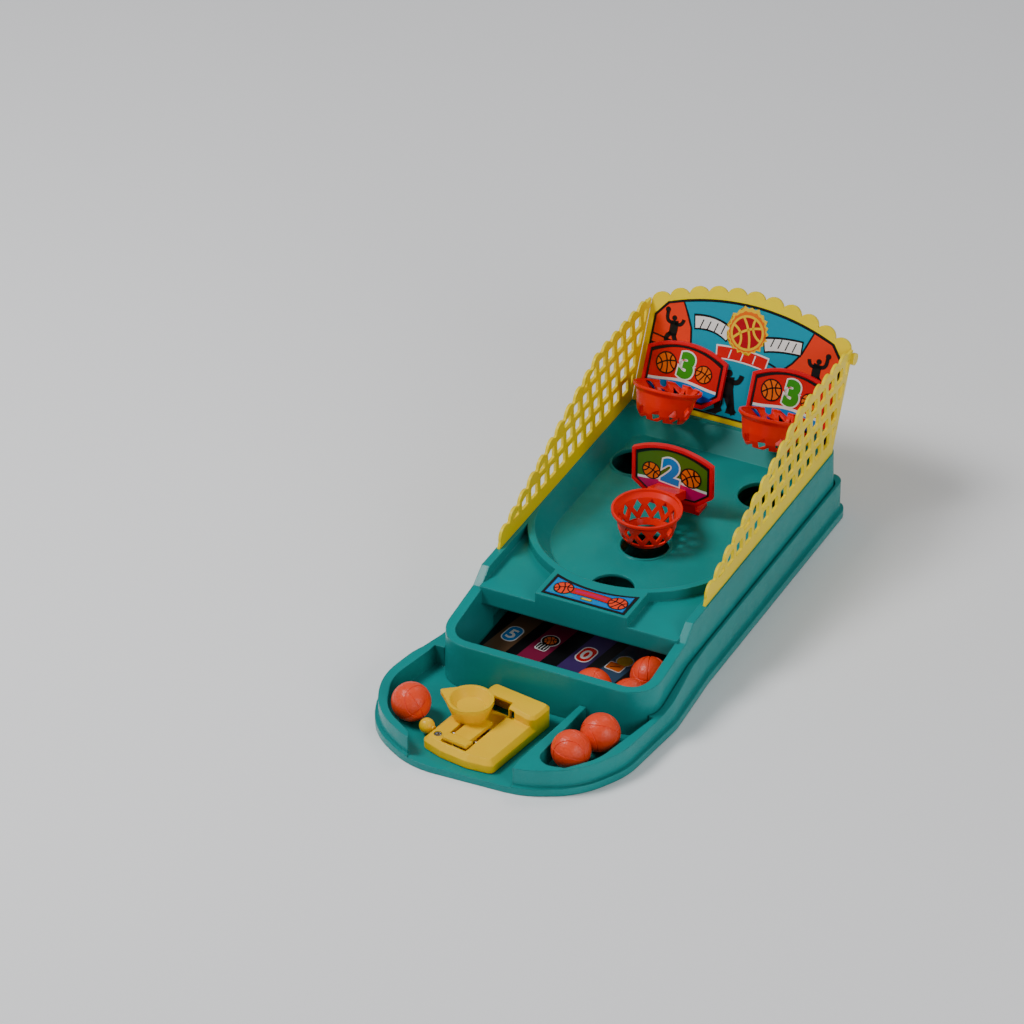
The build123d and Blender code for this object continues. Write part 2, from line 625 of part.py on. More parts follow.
with BuildPart() as launcher_housing:
    with BuildSketch(launch_plane.offset(HOUSING_FOOT)):
        add(closed_outline(HOUSING_EDGE, 5))
    extrude(amount=HOUSING_TOP - HOUSING_FOOT)
    top = launcher_housing.faces().sort_by(Axis.Z)[-1]
    chamfer(top.edges(), HOUSING_EDGE_CUT)
    with BuildSketch(launch_plane.offset(HOUSING_FOOT)):
        add(closed_outline(HOOD_EDGE, 5))
    extrude(amount=HOOD_TOP - HOUSING_FOOT)
    chamfer(launcher_housing.faces().sort_by(Axis.Z)[-1].edges(), 2.2)
    # Hollow underside.
    with BuildSketch(launch_plane.offset(HOUSING_FOOT)):
        add(closed_outline(HOUSING_EDGE, 5))
        offset(amount=-SIDE_WALL, mode=Mode.REPLACE)
        with Locations((channel_mid, (CHANNEL_FRONT + CHANNEL_BACK) / 2)):
            Rectangle(
                CHANNEL[1] - CHANNEL[0] + 7, CHANNEL_BACK - CHANNEL_FRONT + 4, mode=Mode.SUBTRACT
            )
    extrude(amount=HOUSING_TOP - HOUSING_FOOT - 2, mode=Mode.SUBTRACT)
    # Lever channel, with its floor and the swivel bore.
    with BuildSketch(launch_plane.offset(CHANNEL_FLOOR)):
        with Locations((CHANNEL[0], CHANNEL_FRONT)):
            Rectangle(CHANNEL[1] - CHANNEL[0], CHANNEL_BACK - CHANNEL_FRONT, align=(Align.MIN, Align.MIN))
    extrude(amount=20, mode=Mode.SUBTRACT)
    with BuildSketch(launch_plane.offset(HOUSING_FOOT)):
        Circle(7.4)
    extrude(amount=COLLAR_TOP + 0.2 - HOUSING_FOOT, mode=Mode.SUBTRACT)
    with BuildSketch(launch_plane):
        Circle(SWIVEL_PIN_R + 0.06)
    extrude(amount=HOUSING_TOP, mode=Mode.SUBTRACT)
    # Hollow hood, open towards the cup, with a post in its mouth.
    with BuildSketch(launch_plane.offset(CHANNEL_FLOOR)):
        with Locations((-14, 16)):
            Rectangle(25, 18, align=(Align.MIN, Align.MIN))
        with Locations((3.5, 17)):
            Rectangle(2.5, 4.5, align=(Align.MIN, Align.MIN), mode=Mode.SUBTRACT)
    extrude(amount=HOOD_TOP - 2 - CHANNEL_FLOOR, mode=Mode.SUBTRACT)
    # Bore for the lever pin, and the front screw dimple.
    with BuildSketch(pin_plane):
        Circle(PIN_R)
    extrude(amount=PIN_HALF, both=True, mode=Mode.SUBTRACT)
    with BuildSketch(launch_plane.offset(HOUSING_TOP)):
        with Locations((SCREW_X, SCREW_Y)):
            Circle(3)
    extrude(amount=-1.5, mode=Mode.SUBTRACT)
save(launcher_housing.part, "launcher_housing")

with BuildPart() as housing_screw:
    with BuildSketch(launch_plane.offset(HOUSING_TOP - 1.5)):
        with Locations((SCREW_X, SCREW_Y)):
            Circle(2.6)
            Rectangle(3.6, 0.8, mode=Mode.SUBTRACT)
            Rectangle(0.8, 3.6, mode=Mode.SUBTRACT)
    extrude(amount=1.1)
save(housing_screw.part, "housing_screw")

with BuildPart() as lever_pin:
    with BuildSketch(pin_plane):
        Circle(PIN_R)
    extrude(amount=PIN_HALF, both=True)
save(lever_pin.part, "lever_pin")

WASHER_R, WASHER_T = 5.0, 0.8
with BuildPart() as swivel_washer:
    with BuildSketch(launch_plane.offset(SWIVEL_TOP)):
        Circle(WASHER_R)
        Circle(1.3, mode=Mode.SUBTRACT)
    extrude(amount=WASHER_T)
save(swivel_washer.part, "swivel_washer")

with BuildPart() as swivel_screw:
    with BuildSketch(launch_plane.offset(SWIVEL_TOP + WASHER_T)):
        Circle(3)
        Rectangle(4, 0.8, mode=Mode.SUBTRACT)
        Rectangle(0.8, 4, mode=Mode.SUBTRACT)
    extrude(amount=1.4)
    with BuildSketch(launch_plane.offset(SWIVEL_TOP - 3.8)):
        Circle(1.15)
    extrude(amount=3.8 + WASHER_T + 0.6)
save(swivel_screw.part, "swivel_screw")

# ---------------------------------------------------------------- lever with its cup
ARM = (-12.0, 2.0)             # left and right sides of the lever arm
PAD = (-15.0, 4.5)             # and of the press pad
PAD_FRONT = -31.2
SPRING_Y = -27.5
PAD_FOOT, PAD_TOP = 15.0, 18.0
side_plane = Plane(
    origin=launch_plane.from_local_coords((0, 0, 0)),
    x_dir=launch_plane.y_dir,
    z_dir=launch_plane.x_dir,
)

with BuildPart() as launch_lever:
    with BuildSketch(side_plane.offset(ARM[0])):
        Polygon((PAD_FRONT, PAD_FOOT), (PAD_FRONT, PAD_TOP), (-22, 16.4), (4, 16.4), (4, 13.2),
                (-21, 13.2), (-23, PAD_FOOT), align=None)
        with Locations((PIN_Y, PIN_Z)):
            Circle(3)
    extrude(amount=ARM[1] - ARM[0])
    with BuildSketch(side_plane.offset(PAD[0])):
        Polygon((PAD_FRONT, PAD_FOOT), (PAD_FRONT, PAD_TOP), (-23, 16.6), (-23, PAD_FOOT), align=None)
    extrude(amount=PAD[1] - PAD[0])
    with BuildSketch(launch_plane.offset(CUP_FOOT)):
        with Locations((CUP_X, CUP_Y)):
            Circle(CUP_STEM_R)
    with BuildSketch(launch_plane.offset(CUP_RIM - CUP_LIP)):
        with Locations((CUP_X, CUP_Y)):
            Circle(CUP_R)
    loft()
    with BuildSketch(launch_plane.offset(CUP_RIM - CUP_LIP)) as rim:
        with Locations((CUP_X, CUP_Y)):
            Circle(CUP_R)
        with Locations((CUP_X, CUP_Y)):
            Polygon((-24, -3), (-8, 14), (-8, -14), align=None)
        fillet(rim.vertices().group_by(Axis.X)[0], 1.8)
    extrude(amount=CUP_LIP)
    with BuildSketch(launch_plane.offset(CUP_SEAT)):
        with Locations((CUP_X, CUP_Y)):
            Circle(CUP_R - 7)
    with BuildSketch(launch_plane.offset(CUP_RIM)):
        with Locations((CUP_X, CUP_Y)):
            Circle(CUP_R - 2)
    loft(mode=Mode.SUBTRACT)
    with BuildSketch(pin_plane):
        Circle(PIN_R + 0.06)
    extrude(amount=PIN_HALF, both=True, mode=Mode.SUBTRACT)
save(launch_lever.part, "launch_lever")

with BuildPart() as lever_spring:
    with BuildSketch(launch_plane.offset(CHANNEL_FLOOR)):
        with Locations(((PAD[0] + PAD[1]) / 2, SPRING_Y)):
            Circle(3.2)
            Circle(2.3, mode=Mode.SUBTRACT)
    extrude(amount=PAD_FOOT - CHANNEL_FLOOR)
save(lever_spring.part, "lever_spring")

KNOB_X, KNOB_Y, KNOB_Z, KNOB_R = -36.2, -20.5, 12.0, 5.5
knob_plane = Plane(
    origin=launch_plane.from_local_coords((KNOB_X, KNOB_Y, KNOB_Z)),
    x_dir=launch_plane.y_dir,
    z_dir=launch_plane.x_dir,
)
with BuildPart() as aim_knob:
    with BuildSketch(knob_plane.rotated((90, 0, 0))):
        with BuildLine():
            half = CenterArc((0, 0), KNOB_R, -90, 180)
            Line(half @ 1, half @ 0)
        make_face()
    revolve(axis=Axis(knob_plane.origin, knob_plane.rotated((90, 0, 0)).y_dir))
    with BuildSketch(knob_plane):
        Circle(2)
    extrude(amount=-KNOB_X - 30)
save(aim_knob.part, "aim_knob")

# ---------------------------------------------------------------- balls
BALLS = {
    "left_tray_ball": (-76, -166, FLOOR + BALL_R + 0.2),
    "right_tray_front_ball": (48, -168, FLOOR + BALL_R + 0.2),
    "right_tray_back_ball": (57.5, -141.2, FLOOR + BALL_R + 0.2),
    "trough_middle_ball": (29.5, -96, FLOOR + BALL_R + 0.6),
    "trough_side_ball": (58.5, -95.5, FLOOR + BALL_R + 0.6),
    "trough_back_ball": (59.5, -66, FLOOR + BALL_R + 0.6),
}
GROOVE_R = 0.55


def ball(centre, roll):
    """Grooved ball: two great circles and two side arcs, rolled to its own position."""
    plane = Plane(centre).rotated(roll)
    with BuildPart() as solid:
        with Locations(plane):
            Sphere(BALL_R)
        for turn in ((0, 0, 0), (90, 0, 0)):
            with Locations(plane.rotated(turn)):
                Torus(BALL_R, GROOVE_R, mode=Mode.SUBTRACT)
        for shift in (-9.0, 9.0):
            side = plane.rotated((0, 90, 0)).offset(shift)
            with Locations(side):
                Torus(math.sqrt(BALL_R ** 2 - shift ** 2), GROOVE_R, mode=Mode.SUBTRACT)
    return solid.part


for i, (name, centre) in enumerate(BALLS.items()):
    save(ball(centre, (25 + 50 * i, 20 * i - 30, 70 * i)), name)
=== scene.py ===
"""Looks of a tabletop basketball game: moulded shells, lattice fences, printed card, hoops and balls.

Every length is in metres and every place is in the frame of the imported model.
"""

from __future__ import annotations

import logging
import math
from dataclasses import dataclass, field
from enum import Enum
from typing import Callable, Sequence

import bmesh
import bpy
from mathutils import Matrix, Vector

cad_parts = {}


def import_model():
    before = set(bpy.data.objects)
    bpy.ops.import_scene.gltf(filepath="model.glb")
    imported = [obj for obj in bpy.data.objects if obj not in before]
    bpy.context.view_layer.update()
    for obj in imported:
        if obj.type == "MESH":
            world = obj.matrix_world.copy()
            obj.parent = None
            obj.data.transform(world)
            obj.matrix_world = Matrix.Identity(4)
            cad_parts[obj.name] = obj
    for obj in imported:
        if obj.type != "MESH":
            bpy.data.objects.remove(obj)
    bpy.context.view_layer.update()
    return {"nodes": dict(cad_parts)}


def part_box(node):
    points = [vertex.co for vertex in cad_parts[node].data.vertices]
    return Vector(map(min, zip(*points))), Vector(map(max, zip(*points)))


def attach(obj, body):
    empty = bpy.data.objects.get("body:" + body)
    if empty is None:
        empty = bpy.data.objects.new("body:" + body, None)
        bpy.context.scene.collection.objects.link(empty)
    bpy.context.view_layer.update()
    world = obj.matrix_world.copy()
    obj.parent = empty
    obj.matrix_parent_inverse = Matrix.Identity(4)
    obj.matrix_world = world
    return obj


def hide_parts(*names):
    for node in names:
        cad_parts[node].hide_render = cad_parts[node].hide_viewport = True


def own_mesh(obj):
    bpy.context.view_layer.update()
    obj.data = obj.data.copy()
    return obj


log = logging.getLogger("basketball_game")

MM = 0.001
Point = tuple[float, float]
Colour = tuple[float, float, float]


class Paint(Enum):
    """Plain colours of the toy and its print, as linear red, green and blue."""

    TEAL = (0.0, 0.245, 0.232)
    FENCE_YELLOW = (1.0, 0.68, 0.0)
    LAUNCHER_YELLOW = (1.0, 0.55, 0.0)
    HOOP_RED = (0.90, 0.012, 0.004)
    BOARD_RED = (0.72, 0.004, 0.014)
    BALL_RED = (0.96, 0.060, 0.010)
    BALL_CRIMSON = (0.45, 0.002, 0.012)
    BLACK = (0.006, 0.006, 0.007)
    WHITE = (0.86, 0.84, 0.82)
    CARD_BLUE = (0.0, 0.30, 0.43)
    CARD_RED = (0.85, 0.040, 0.008)
    SKY_BLUE = (0.0, 0.22, 0.62)
    DEEP_BLUE = (0.0, 0.035, 0.36)
    LEAF_GREEN = (0.035, 0.30, 0.010)
    OLIVE_GREEN = (0.075, 0.17, 0.010)
    MAGENTA = (0.58, 0.0, 0.12)
    PRINT_RED = (0.68, 0.006, 0.006)
    ORANGE = (0.88, 0.15, 0.002)
    FLAME = (0.92, 0.56, 0.01)
    BROWN = (0.13, 0.070, 0.036)
    MAROON = (0.20, 0.010, 0.045)
    PURPLE = (0.050, 0.024, 0.125)
    NAVY = (0.032, 0.075, 0.14)
    STEEL = (0.42, 0.42, 0.44)
    FLOOR = (0.93, 0.93, 0.94)


# ---------------------------------------------------------------- shader expressions
class Sock:
    """A shader socket that adds its own Math nodes when it is used in an expression."""

    def __init__(self, shader: "Shader", socket: bpy.types.NodeSocket) -> None:
        """Wrap a socket of one shader."""
        self.shader = shader
        self.socket = socket

    def _math(self, operation: str, first: object, second: object = 0.0) -> "Sock":
        """Add one Math node.

        Args:
            operation: The Math node's operation.
            first: Left value or socket.
            second: Right value or socket.

        Returns:
            The node's result.
        """
        node = self.shader.node("ShaderNodeMath", {"operation": operation}, {0: first, 1: second})
        return Sock(self.shader, node.outputs[0])

    def __add__(self, other: object) -> "Sock":
        """Sum."""
        return self._math("ADD", self, other)

    def __radd__(self, other: object) -> "Sock":
        """Sum with a number on the left."""
        return self._math("ADD", other, self)

    def __sub__(self, other: object) -> "Sock":
        """Difference."""
        return self._math("SUBTRACT", self, other)

    def __rsub__(self, other: object) -> "Sock":
        """Difference from a number."""
        return self._math("SUBTRACT", other, self)

    def __mul__(self, other: object) -> "Sock":
        """Product."""
        return self._math("MULTIPLY", self, other)

    def __rmul__(self, other: object) -> "Sock":
        """Product with a number on the left."""
        return self._math("MULTIPLY", other, self)

    def clamp(self) -> "Sock":
        """This socket held between 0 and 1."""
        return self._math("MINIMUM", self._math("MAXIMUM", self, 0.0), 1.0)


class Shader:
    """One procedural material, built round a Principled BSDF."""

    def __init__(self, name: str) -> None:
        """Start an empty material of that name."""
        self.material = bpy.data.materials.new(name)
        self.material.use_nodes = True
        self.tree = self.material.node_tree
        self.tree.nodes.clear()
        self.place = self.sock(self.node("ShaderNodeTexCoord"), "Object")

    def node(
        self,
        kind: str,
        settings: dict[str, object] | None = None,
        inputs: dict[object, object] | None = None,
    ) -> bpy.types.Node:
        """Add one node.

        Args:
            kind: The node's type name.
            settings: Node properties, set before the sockets; "stops" fills a colour ramp.
            inputs: Socket name or index to a value, a socket or a Sock.

        Returns:
            The new node.
        """
        made = self.tree.nodes.new(kind)
        for key, value in (settings or {}).items():
            if key == "stops":
                ramp = made.color_ramp
                while len(ramp.elements) < len(value):
                    ramp.elements.new(0.5)
                for element, (at, colour) in zip(ramp.elements, value):
                    element.position = at
                    element.color = colour
            else:
                setattr(made, key, value)
        for key, value in (inputs or {}).items():
            socket = made.inputs[key]
            if isinstance(value, Sock):
                self.tree.links.new(value.socket, socket)
            elif isinstance(value, bpy.types.NodeSocket):
                self.tree.links.new(value, socket)
            else:
                socket.default_value = value
        return made

    def sock(self, node: bpy.types.Node, output: object = 0) -> Sock:
        """One output of a node as a Sock."""
        return Sock(self, node.outputs[output])

    def noise(self, scale: float, detail: float = 2.0, rough: float = 0.5) -> Sock:
        """Noise value in Object coordinates.

        Args:
            scale: Cells per metre.
            detail: Octaves.
            rough: Weight of the finer octaves.

        Returns:
            The noise factor.
        """
        inputs = {"Vector": self.place, "Scale": scale, "Detail": detail, "Roughness": rough}
        return self.sock(self.node("ShaderNodeTexNoise", None, inputs), 0)

    def mix(self, factor: object, first: Colour, second: Colour) -> Sock:
        """Colour between two colours.

        Args:
            factor: 0 for the first colour, 1 for the second.
            first: Linear colour or Sock.
            second: Linear colour or Sock.

        Returns:
            The mixed colour.
        """
        paints = [c if isinstance(c, Sock) else (*c, 1.0) for c in (first, second)]
        node = self.node(
            "ShaderNodeMix",
            {"data_type": "RGBA", "clamp_factor": True},
            {0: factor, 6: paints[0], 7: paints[1]},
        )
        return self.sock(node, 2)

    def edge(self, radius: float) -> tuple[Sock, Sock]:
        """Rounded edge normal, and a mask that is 1 on the edges.

        Args:
            radius: Radius of the rounding in metres.

        Returns:
            The normal and the mask.
        """
        rounded = self.sock(self.node("ShaderNodeBevel", {"samples": 4}, {"Radius": radius}))
        flat = self.sock(self.node("ShaderNodeNewGeometry"), "Normal")
        dot = self.node("ShaderNodeVectorMath", {"operation": "DOT_PRODUCT"}, {0: rounded, 1: flat})
        mask = ((1.0 - self.sock(dot, "Value")) * 6.0).clamp()
        return rounded, mask

    def bump(self, height: Sock, depth: float, strength: float, normal: Sock | None = None) -> Sock:
        """Normal bent by a height.

        Args:
            height: The height field.
            depth: Distance in metres that a height of 1 stands for.
            strength: Share of the effect.
            normal: Normal to bend, or None for the surface's own.

        Returns:
            The bent normal.
        """
        inputs: dict[object, object] = {"Height": height, "Distance": depth, "Strength": strength}
        if normal is not None:
            inputs["Normal"] = normal
        return self.sock(self.node("ShaderNodeBump", None, inputs))

    def close(self, inputs: dict[object, object]) -> bpy.types.Material:
        """Add the Principled BSDF and the output.

        Args:
            inputs: The BSDF's sockets.

        Returns:
            The finished material.
        """
        bsdf = self.node("ShaderNodeBsdfPrincipled", None, inputs)
        self.node("ShaderNodeOutputMaterial", None, {"Surface": bsdf.outputs[0]})
        return self.material


# ---------------------------------------------------------------- finishes
@dataclass(frozen=True)
class MouldedPlastic:
    """Injection-moulded plastic: fine spark texture, flow marks, and paler edges that are a painted edge
    highlight broken up by scuff noise.
    """

    name: str
    paint: Paint
    rough: float = 0.34
    edge: float = 0.0007
    grain: float = 0.00003
    # Strength of the painted edge highlight, which scuff noise breaks into patches.
    edge_highlight_and_scuff: float = 0.35
    glow: float = 0.0
    shine: float = 0.24

    def make(self) -> bpy.types.Material:
        """Build the material."""
        s = Shader(self.name)
        base = self.paint.value
        dark = tuple(c * 0.80 for c in base)
        light = tuple(min(1.0, c * 1.16) for c in base)
        flow = s.noise(14.0, 3.0, 0.6)
        body = s.mix(flow, dark, light)
        normal, mask = s.edge(self.edge)
        # Paler edges: a painted edge highlight on the rounded edges, broken into patches by the scuff noise.
        edge_highlight_colour = tuple(min(1.0, c * 1.35 + 0.015) for c in base)
        scuff_and_highlight_noise = s.noise(420.0, 3.0, 0.7)
        colour = s.mix(mask * self.edge_highlight_and_scuff * scuff_and_highlight_noise * 1.6, body, edge_highlight_colour)
        fine = s.noise(2600.0, 2.0, 0.6)
        rough = self.rough - 0.05 + flow * 0.07 + fine * 0.05 + mask * 0.06
        inputs: dict[object, object] = {
            "Base Color": colour,
            "Roughness": rough,
            "Normal": s.bump(fine + scuff_and_highlight_noise * 0.6, self.grain, 0.7, normal),
            "IOR": 1.49,
            "Specular IOR Level": self.shine,
            "Coat Weight": 0.05,
            "Coat Roughness": 0.12,
        }
        if self.glow:
            inputs["Subsurface Weight"] = self.glow
            inputs["Subsurface Scale"] = 0.004
        return s.close(inputs)


@dataclass(frozen=True)
class Print:
    """Printed film or card: one ink with dot grain and a thin gloss film."""

    name: str
    paint: Paint
    second: Paint | None = None
    low: float = 0.0
    high: float = 1.0
    rough: float = 0.30

    def make(self) -> bpy.types.Material:
        """Build the material; a second ink fades in from low to high along Z."""
        s = Shader(self.name)
        base = self.paint.value
        ink: object = (*base, 1.0)
        if self.second is not None:
            split = s.node("ShaderNodeSeparateXYZ", None, {0: s.place})
            rise = (s.sock(split, "Z") - self.low) * (1.0 / (self.high - self.low))
            ink = s.mix(rise.clamp(), base, self.second.value)
        grain = s.noise(1500.0, 2.0, 0.6)
        cloud = s.noise(60.0, 2.0, 0.5)
        shade = s.mix((cloud * 0.22 + grain * 0.16).clamp(), (1.0, 1.0, 1.0), (0.62, 0.62, 0.62))
        toned = s.node(
            "ShaderNodeMix",
            {"data_type": "RGBA", "blend_type": "MULTIPLY"},
            {0: 1.0, 6: ink, 7: shade},
        )
        return s.close({
            "Base Color": s.sock(toned, 2),
            "Roughness": self.rough + grain * 0.10,
            "Normal": s.bump(grain, 0.00002, 0.5),
            "Specular IOR Level": 0.3,
            "Coat Weight": 0.06,
            "Coat Roughness": 0.10,
        })


@dataclass(frozen=True)
class BallSkin:
    """Pebbled toy ball plastic."""

    name: str
    paint: Paint

    def make(self) -> bpy.types.Material:
        """Build the material."""
        s = Shader(self.name)
        base = self.paint.value
        cells = s.node("ShaderNodeTexVoronoi", {"feature": "SMOOTH_F1"}, {
            "Vector": s.place, "Scale": 620.0, "Smoothness": 0.5, "Randomness": 0.7,
        })
        pebble = 1.0 - s.sock(cells, "Distance")
        cloud = s.noise(70.0, 2.0, 0.5)
        dark = tuple(c * 0.78 for c in base)
        light = tuple(min(1.0, c * 1.1 + 0.01) for c in base)
        return s.close({
            # Colour lighter on each pebble's crown: a painted highlight on the pebbles; the cloud part is
            # random tone.
            "Base Color": s.mix((cloud * 0.7 + pebble * 0.35).clamp(), dark, light),
            "Roughness": 0.30 + cloud * 0.12,
            "Normal": s.bump(pebble, 0.00030, 0.7),
            "Specular IOR Level": 0.35,
            "Subsurface Weight": 0.05,
            "Subsurface Scale": 0.003,
        })


@dataclass(frozen=True)
class PlatedSteel:
    """Zinc-plated steel with turning marks."""

    name: str
    paint: Paint

    def make(self) -> bpy.types.Material:
        """Build the material."""
        s = Shader(self.name)
        base = self.paint.value
        marks = s.noise(3200.0, 2.0, 0.6)
        cloud = s.noise(260.0, 2.0, 0.5)
        dark = tuple(c * 0.62 for c in base)
        normal, mask = s.edge(0.0003)
        return s.close({
            # Colour lighter on the bevelled edges: a painted edge highlight; the cloud part is random tone.
            "Base Color": s.mix((cloud * 0.6 + mask * 0.4).clamp(), dark, base),
            "Metallic": 1.0,
            "Roughness": 0.24 + marks * 0.18,
            "Normal": s.bump(marks, 0.00002, 0.6, normal),
        })


@dataclass
class Finishes:
    """The materials of the toy, each made once when it is first asked for."""

    made: dict[object, bpy.types.Material] = field(default_factory=dict)

    def get(self, finish: object) -> bpy.types.Material:
        """The material of a finish."""
        if finish not in self.made:
            self.made[finish] = finish.make()
        return self.made[finish]

    def ink(self, paint: Paint) -> bpy.types.Material:
        """Plain print in one colour."""
        return self.get(Print(f"print_{paint.name.lower()}", paint))


TEAL_SHELL = MouldedPlastic("teal_shell", Paint.TEAL, 0.26, 0.0017, 0.00003, 0.30)
FENCE_PLASTIC = MouldedPlastic("fence_plastic", Paint.FENCE_YELLOW, 0.36, 0.0007, 0.00003, 0.3, 0.05)
LAUNCHER_PLASTIC = MouldedPlastic(
    "launcher_plastic", Paint.LAUNCHER_YELLOW, 0.34, 0.0009, 0.00003, 0.3, 0.05
)
HOOP_PLASTIC = MouldedPlastic("hoop_plastic", Paint.HOOP_RED, 0.26, 0.0006, 0.00002, 0.3, 0.08)
BOARD_PLASTIC = MouldedPlastic("board_plastic", Paint.BOARD_RED, 0.30, 0.0006, 0.00002, 0.3)
BALL_SKIN = BallSkin("ball_skin", Paint.BALL_RED)
SCREW_STEEL = PlatedSteel("screw_steel", Paint.STEEL)


# ---------------------------------------------------------------- mesh helpers
@dataclass(frozen=True)
class Sheet:
    """A flat working plane: x runs right and y runs up its face, in millimetres."""

    origin: Vector
    right: Vector
    up: Vector

    @property
    def out(self) -> Vector:
        """Normal of the face."""
        return self.right.cross(self.up).normalized()

    def at(self, x: float, y: float, lift: float = 0.0) -> Vector:
        """A point on the sheet.

        Args:
            x: Millimetres to the right.
            y: Millimetres up the face.
            lift: Millimetres out of the face.

        Returns:
            The point in metres in the model's frame.
        """
        return self.origin + (self.right * x + self.up * y + self.out * lift) * MM

    def matrix(self) -> Matrix:
        """Placement of something drawn flat in X and Y on the sheet."""
        rows = zip(self.right, self.up, self.out, self.origin)
        return Matrix([tuple(r) for r in rows] + [(0, 0, 0, 1)])


def publish(
    name: str, mesh: bpy.types.Mesh, material: bpy.types.Material, body: str
) -> bpy.types.Object:
    """Link a finished mesh as a piece that rides on a body.

    Args:
        name: The piece's name.
        mesh: Its mesh, already in place.
        material: Its material.
        body: The body that it moves with.

    Returns:
        The piece.
    """
    piece = bpy.data.objects.new(name, mesh)
    bpy.context.scene.collection.objects.link(piece)
    mesh.materials.clear()
    mesh.materials.append(material)
    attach(piece, body)
    log.info("%s: %d faces on %s", name, len(mesh.polygons), body)
    return piece


def disc(x: float, y: float, radius: float, count: int = 36) -> list[Point]:
    """Round outline.

    Args:
        x, y: Its centre.
        radius: Its radius.
        count: Its number of corners.

    Returns:
        The closed outline.
    """
    turn = 2 * math.pi / count
    return [(x + radius * math.cos(turn * i), y + radius * math.sin(turn * i)) for i in range(count)]


def stroke(line: Sequence[Point], width: float) -> list[Point]:
    """Outline of a line drawn with a pen.

    Args:
        line: The points that the pen follows.
        width: The pen's width.

    Returns:
        The closed outline.
    """
    left: list[Point] = []
    right: list[Point] = []
    for i, (x, y) in enumerate(line):
        x0, y0 = line[max(i - 1, 0)]
        x1, y1 = line[min(i + 1, len(line) - 1)]
        length = math.hypot(x1 - x0, y1 - y0) or 1.0
        nx, ny = -(y1 - y0) / length * width / 2, (x1 - x0) / length * width / 2
        left.append((x + nx, y + ny))
        right.append((x - nx, y - ny))
    return left + right[::-1]


def arc(x: float, y: float, radius: float, start: float, end: float, count: int = 14) -> list[Point]:
    """Points along an arc, angles in degrees."""
    step = math.radians(end - start) / count
    first = math.radians(start)
    return [
        (x + radius * math.cos(first + step * i), y + radius * math.sin(first + step * i))
        for i in range(count + 1)
    ]


def rounded(x: float, y: float, wide: float, high: float, radius: float, turn: float = 0.0) -> list[Point]:
    """Rounded rectangle about its centre.

    Args:
        x: Centre across.
        y: Centre up.
        wide: Full width.
        high: Full height.
        radius: Corner radius.
        turn: Rotation in degrees.

    Returns:
        The outline.
    """
    corners = [(1, 1, 0), (-1, 1, 90), (-1, -1, 180), (1, -1, 270)]
    points: list[Point] = []
    for sx, sy, start in corners:
        points += arc(sx * (wide / 2 - radius), sy * (high / 2 - radius), radius, start, start + 90, 5)
    c, s = math.cos(math.radians(turn)), math.sin(math.radians(turn))
    return [(x + px * c - py * s, y + px * s + py * c) for px, py in points]


